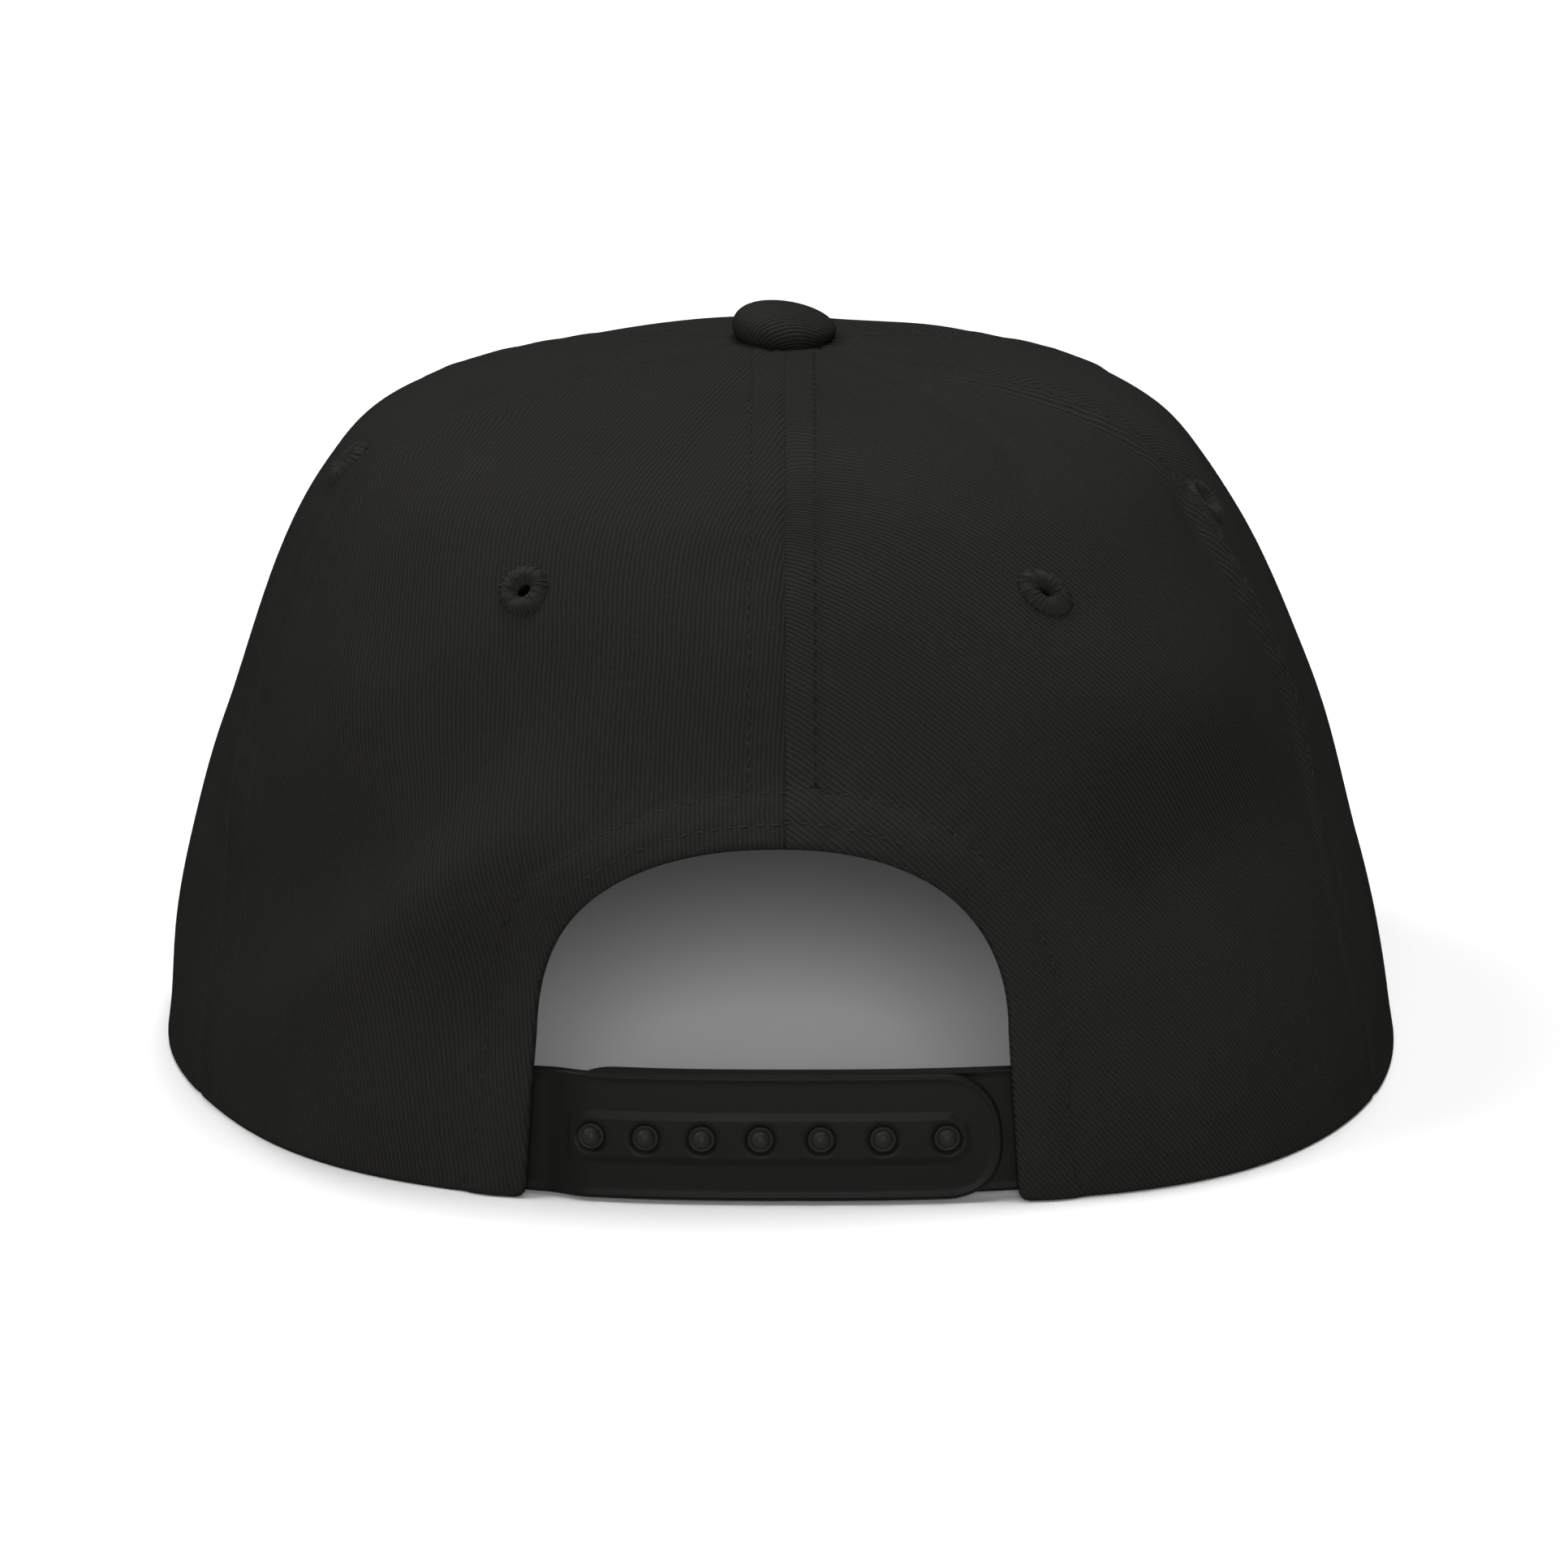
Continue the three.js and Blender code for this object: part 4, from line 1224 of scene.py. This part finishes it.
def bill_column(along):
    """Root and edge of the bill at a place from -1 to 1 along it."""
    side = 1 if along < 0 else -1
    part = 1 - abs(along)
    angle = side * math.radians(BILL["corner"] + (180 - BILL["corner"]) * part)
    root = crown_face(np.array(angle), np.array(0.0), np.array(-WALL))[:2]
    return root, bill_edge(part, side)


def bill_profile(length):
    """Distances from the bill's edge and heights over its underside, round one section of it."""
    half = BILL["thickness"] / 2
    turns = np.linspace(0, math.pi, 13)[1:-1]
    flat_part = np.minimum(length, half + max(0, length - half) * (1 - np.array(BILL_STEPS)))
    reaches = np.concatenate([flat_part, half * (1 - np.sin(turns)), flat_part[::-1]])
    rises = np.concatenate([np.full(len(flat_part), 2 * half), half + half * np.cos(turns),
                            np.zeros(len(flat_part))])
    return reaches, rises


def bill_piece():
    """The bill's cover, lofted from its left corner round to its right one."""
    half = BILL["thickness"] / 2
    sections, weave = [], []
    for along in np.linspace(-1, 1, BILL_COLUMNS + 1):
        root, edge = bill_column(along)
        length = max(np.linalg.norm(edge - root), 1e-6)
        reaches, rises = bill_profile(length)
        xy = edge - reaches[:, None] * (edge - root) / length
        groove = sum(0.15 * bump(reaches, row, 0.7) for row in BILL_STITCH_ROWS)
        face = np.sign(rises - half) * (np.abs(rises - half) > half * 0.99)
        sections.append(np.column_stack([xy, bill_underside(xy[:, 0]) + rises - groove * face]))
        weave.append(xy)
    size = len(sections[0])
    last = BILL_COLUMNS * size
    faces = flipped(ring_walls(BILL_COLUMNS + 1, size))
    faces += [list(range(size)), [last + i for i in range(size)][::-1]]
    points = np.concatenate(sections)
    maps = {"weave": leaning(np.concatenate(weave), BILL["weave_lean"]), "stitching": no_stitching(points)}
    piece = mesh_object("bill_cover", points, faces, maps)
    settle(piece, CLOTH[1], "twill", "bill")


def bill_rows():
    rows = []
    for reach in BILL_STITCH_ROWS:
        for level, facing, sink in ((BILL["thickness"], 1, 0.12), (0, -1, 0.3)):
            points = []
            for along in np.linspace(-0.985, 0.985, 240):
                root, edge = bill_column(along)
                length = np.linalg.norm(edge - root)
                if length < reach + 3:
                    continue
                xy = edge - (edge - root) / length * reach
                points.append([xy[0], xy[1], bill_underside(xy[0]) + level - sink * facing])
            if len(points) > 4:
                points = np.array(points)
                rows.append((points, np.tile([0, 0, facing], (len(points), 1))))
    return rows


def outer_strap_depth(x):
    behind = smoothstep(x, OUTER_STRAP["free"], OUTER_STRAP["cloth_edge"])
    return STRAP["free_depth"] + (STRAP["tucked_depth"] - STRAP["free_depth"]) * behind


def inner_strap_depth(x):
    return outer_strap_depth(x) + STRAP["thickness"] + LIFT_CLEARANCE


def strap_outline(tucked, end):
    """Counter-clockwise in x and height."""
    half = (STRAP["top"] - STRAP["bottom"]) / 2
    middle = (STRAP["top"] + STRAP["bottom"]) / 2
    direction = math.copysign(1, end - tucked)
    straight = end - direction * half
    turns = np.linspace(-math.pi / 2, math.pi / 2, 60)
    power = 2 / STRAP_END_SQUARENESS
    x = straight + direction * half * np.abs(np.cos(turns)) ** power
    z = middle + half * np.sign(np.sin(turns)) * np.abs(np.sin(turns)) ** power
    cap = np.stack([x, z], axis=1)
    low = np.array([[tucked, STRAP["bottom"]], cap[0]])
    high = np.array([cap[-1], [tucked, STRAP["top"]]])
    back = np.array([[tucked, STRAP["top"]], [tucked, STRAP["bottom"]]])
    paths = [low, cap, high, back]
    if direction < 0:
        paths = [path[::-1] for path in paths[::-1]]
    return joined(paths, 0.7)


def stud_places():
    steps = np.arange(STUDS["count"])
    return STUDS["first"] - STUDS["pitch"] * steps - STUDS["growth"] * steps**2


def strap_band(flat):
    """The raised band round the holes: square at one end, round at the other."""
    x, up = flat[:, 0], flat[:, 1] - STUDS["height"]
    half = STRAP_BAND["half"]
    round_end = np.maximum(0, STRAP_BAND["end"] + half - x)
    depth = np.minimum(half - np.hypot(round_end, up), STRAP_BAND["start"] - x)
    return STRAP_BAND["rise"] * smoothstep(depth, -STRAP_BAND["edge"] / 2, STRAP_BAND["edge"] / 2)


def strap_plate(outline, holes, depth, thickness, relief, lift=0.0):
    """A strap bent round the crown. depth tells how far it lies under the crown's face."""
    flat, triangles = plate(outline, holes, STRAP_EDGE_ROWS, STRAP_HOLE_ROWS, STRAP_SPACING)
    edge = distance_to(flat, *segments([outline]))
    round_edge = fold(edge, STRAP_EDGE_ROUND)
    bead = STRAP_BEAD["rise"] * bump(edge, STRAP_BEAD["middle"], STRAP_BEAD["half"] * 0.75)
    rise = bead + relief(flat) - round_edge
    if holes:
        rim = distance_to(flat, *segments(holes))
        rise -= HOLE_DISH["depth"] * (1 - smoothstep(rim, 0, HOLE_DISH["width"]))
    angle = angle_at(flat[:, 0], 0)
    level = level_at(flat[:, 1] + lift)
    outer = crown_face(angle, level, rise - depth(flat[:, 0]))
    inner = crown_face(angle, level, -depth(flat[:, 0]) - thickness + round_edge * 0.9)
    return shell(outer, inner, triangles[:, ::-1])


def stud_body(x):
    """A domed stud with its foot inside the strap, as points and faces."""
    angle = angle_at(np.array(x), 0)
    origin, axes = seat(angle, STUDS["height"])
    root = -float(inner_strap_depth(np.array(x))) - STUD["root"]
    face = -float(outer_strap_depth(np.array(x))) + STRAP_BAND["rise"]
    head = face + STUD["proud"]
    climbs = np.linspace(0, math.pi / 2 - 0.05, 9)
    foot = face - HOLE_DISH["depth"]
    profile = [(STUD["collar"], root), (STUD["collar"], foot), (STUD["radius"] + 0.1, foot)]
    profile += [(STUD["radius"] * math.cos(c), head - STUD["dome"] * (1 - math.sin(c))) for c in climbs]
    faces = ring_walls(len(profile), STUD_SIDES)
    last = (len(profile) - 1) * STUD_SIDES
    faces.append([last + i for i in range(STUD_SIDES)])
    faces.append(list(range(STUD_SIDES))[::-1])
    return origin + turned(profile, STUD_SIDES) @ axes, faces


def outer_strap_piece():
    holes = [circle(np.array([x, STUDS["height"]]), STUD["hole"], STRAP_HOLE_SIDES) for x in stud_places()]
    outline = strap_outline(OUTER_STRAP["tucked"], OUTER_STRAP["end"])
    points, faces = strap_plate(outline, holes, outer_strap_depth, STRAP["thickness"], strap_band)
    piece = mesh_object("outer_strap", points, faces, {"stud": np.zeros((len(points), 2))})
    settle(piece, PLASTIC, "strap_plastic", "strap_with_holes")


def inner_strap_piece():
    outline = strap_outline(INNER_STRAP["tucked"], INNER_STRAP["end"])
    points, faces = strap_plate(outline, [], inner_strap_depth, INNER_STRAP["thickness"],
                                lambda flat: 0, INNER_STRAP["raise"])
    first = len(points)
    parts = [points]
    for x in stud_places():
        stud, stud_faces = stud_body(x)
        faces += [[first + i for i in face] for face in stud_faces]
        parts.append(stud)
        first += len(stud)
    # The stud map marks the studs, whose colour is painted lighter as painted light.
    painted_stud_light = np.zeros((first, 2))
    painted_stud_light[len(points):] = 1
    piece = mesh_object("inner_strap", np.concatenate(parts), faces, {"stud": painted_stud_light})
    settle(piece, PLASTIC, "strap_plastic", "strap_with_studs")


def floor_piece():
    disc = turned([(FLOOR["radius"], FLOOR["height"])], FLOOR["sides"])
    mesh = bpy.data.meshes.new("studio_floor")
    mesh.from_pydata((disc * MM).tolist(), [], [list(range(FLOOR["sides"]))])
    floor = linked("studio_floor", mesh)
    mesh.materials.append(studio_floor("floor_white"))


def sun(name, side, elevation, spread, strength):
    """A far, broad light."""
    light = bpy.data.lights.new(name, "SUN")
    light.energy = strength
    light.angle = math.radians(spread)
    lamp = linked(name, light)
    turn, climb = math.radians(side), math.radians(elevation)
    aim = Vector((math.sin(turn) * math.cos(climb), math.cos(turn) * math.cos(climb), math.sin(climb)))
    lamp.rotation_euler = aim.to_track_quat("Z", "Y").to_euler()
    lamp.location = aim * 2


def hollow_light():
    """Stands in for the light that a white studio throws in under the crown from all round."""
    light = bpy.data.lights.new("hollow_light", "AREA")
    light.shape = "DISK"
    light.size = HOLLOW_LIGHT["size"]
    light.energy = HOLLOW_LIGHT["energy"]
    lamp = linked("hollow_light", light)
    lamp.location = to_frame(HOLLOW_LIGHT["place"])
    lamp.visible_camera = False


def camera():
    tilt = math.radians(CAMERA["tilt"])
    back, up = CAMERA["distance"] * math.cos(tilt), CAMERA["distance"] * math.sin(tilt)
    aside, aim_height = CAMERA["aim"]
    origin = CROWN_ORIGIN * MM
    place = Vector((origin[0], origin[1] + back, CAMERA["height"] + up))
    aim = Vector((origin[0] + aside, origin[1], aim_height))
    lens = bpy.data.cameras.new("photo_camera")
    lens.sensor_width = 36
    lens.lens = CAMERA["lens"]
    lens.clip_end = 100
    eye = linked("photo_camera", lens)
    eye.location = place
    eye.rotation_euler = (aim - place).to_track_quat("-Z", "Y").to_euler()
    bpy.context.scene.camera = eye


def world():
    sky = bpy.data.worlds.new("white_room")
    sky.use_nodes = True
    sky.node_tree.nodes["Background"].inputs["Color"].default_value = (1, 1, 1, 1)
    sky.node_tree.nodes["Background"].inputs["Strength"].default_value = SKY_STRENGTH
    bpy.context.scene.world = sky
    bpy.context.scene.view_settings.view_transform = "Standard"


camera()
world()
floor_piece()
for sun_row in SUNS:
    sun(**sun_row)
hollow_light()

for panel_row in PANELS:
    crown_panel = Panel(panel_row)
    panel_mesh(crown_panel)
    panel_rows(crown_panel)

stitches = stitch_tree()
for seed, (stitch_name, stitch_rows) in enumerate(STITCH_ROWS.items()):
    stitched("crown_stitches_" + stitch_name, stitch_rows, STITCHES[stitch_name], stitches, seed + 3)
stitched("bill_topstitching", bill_rows(), STITCHES["sunk"], stitches, 7)

rings = ring_tree()
for seed, eyelet_row in enumerate(EYELETS):
    eyelet_piece(eyelet_row, rings, seed + 11)

button_piece()
bill_piece()
outer_strap_piece()
inner_strap_piece()
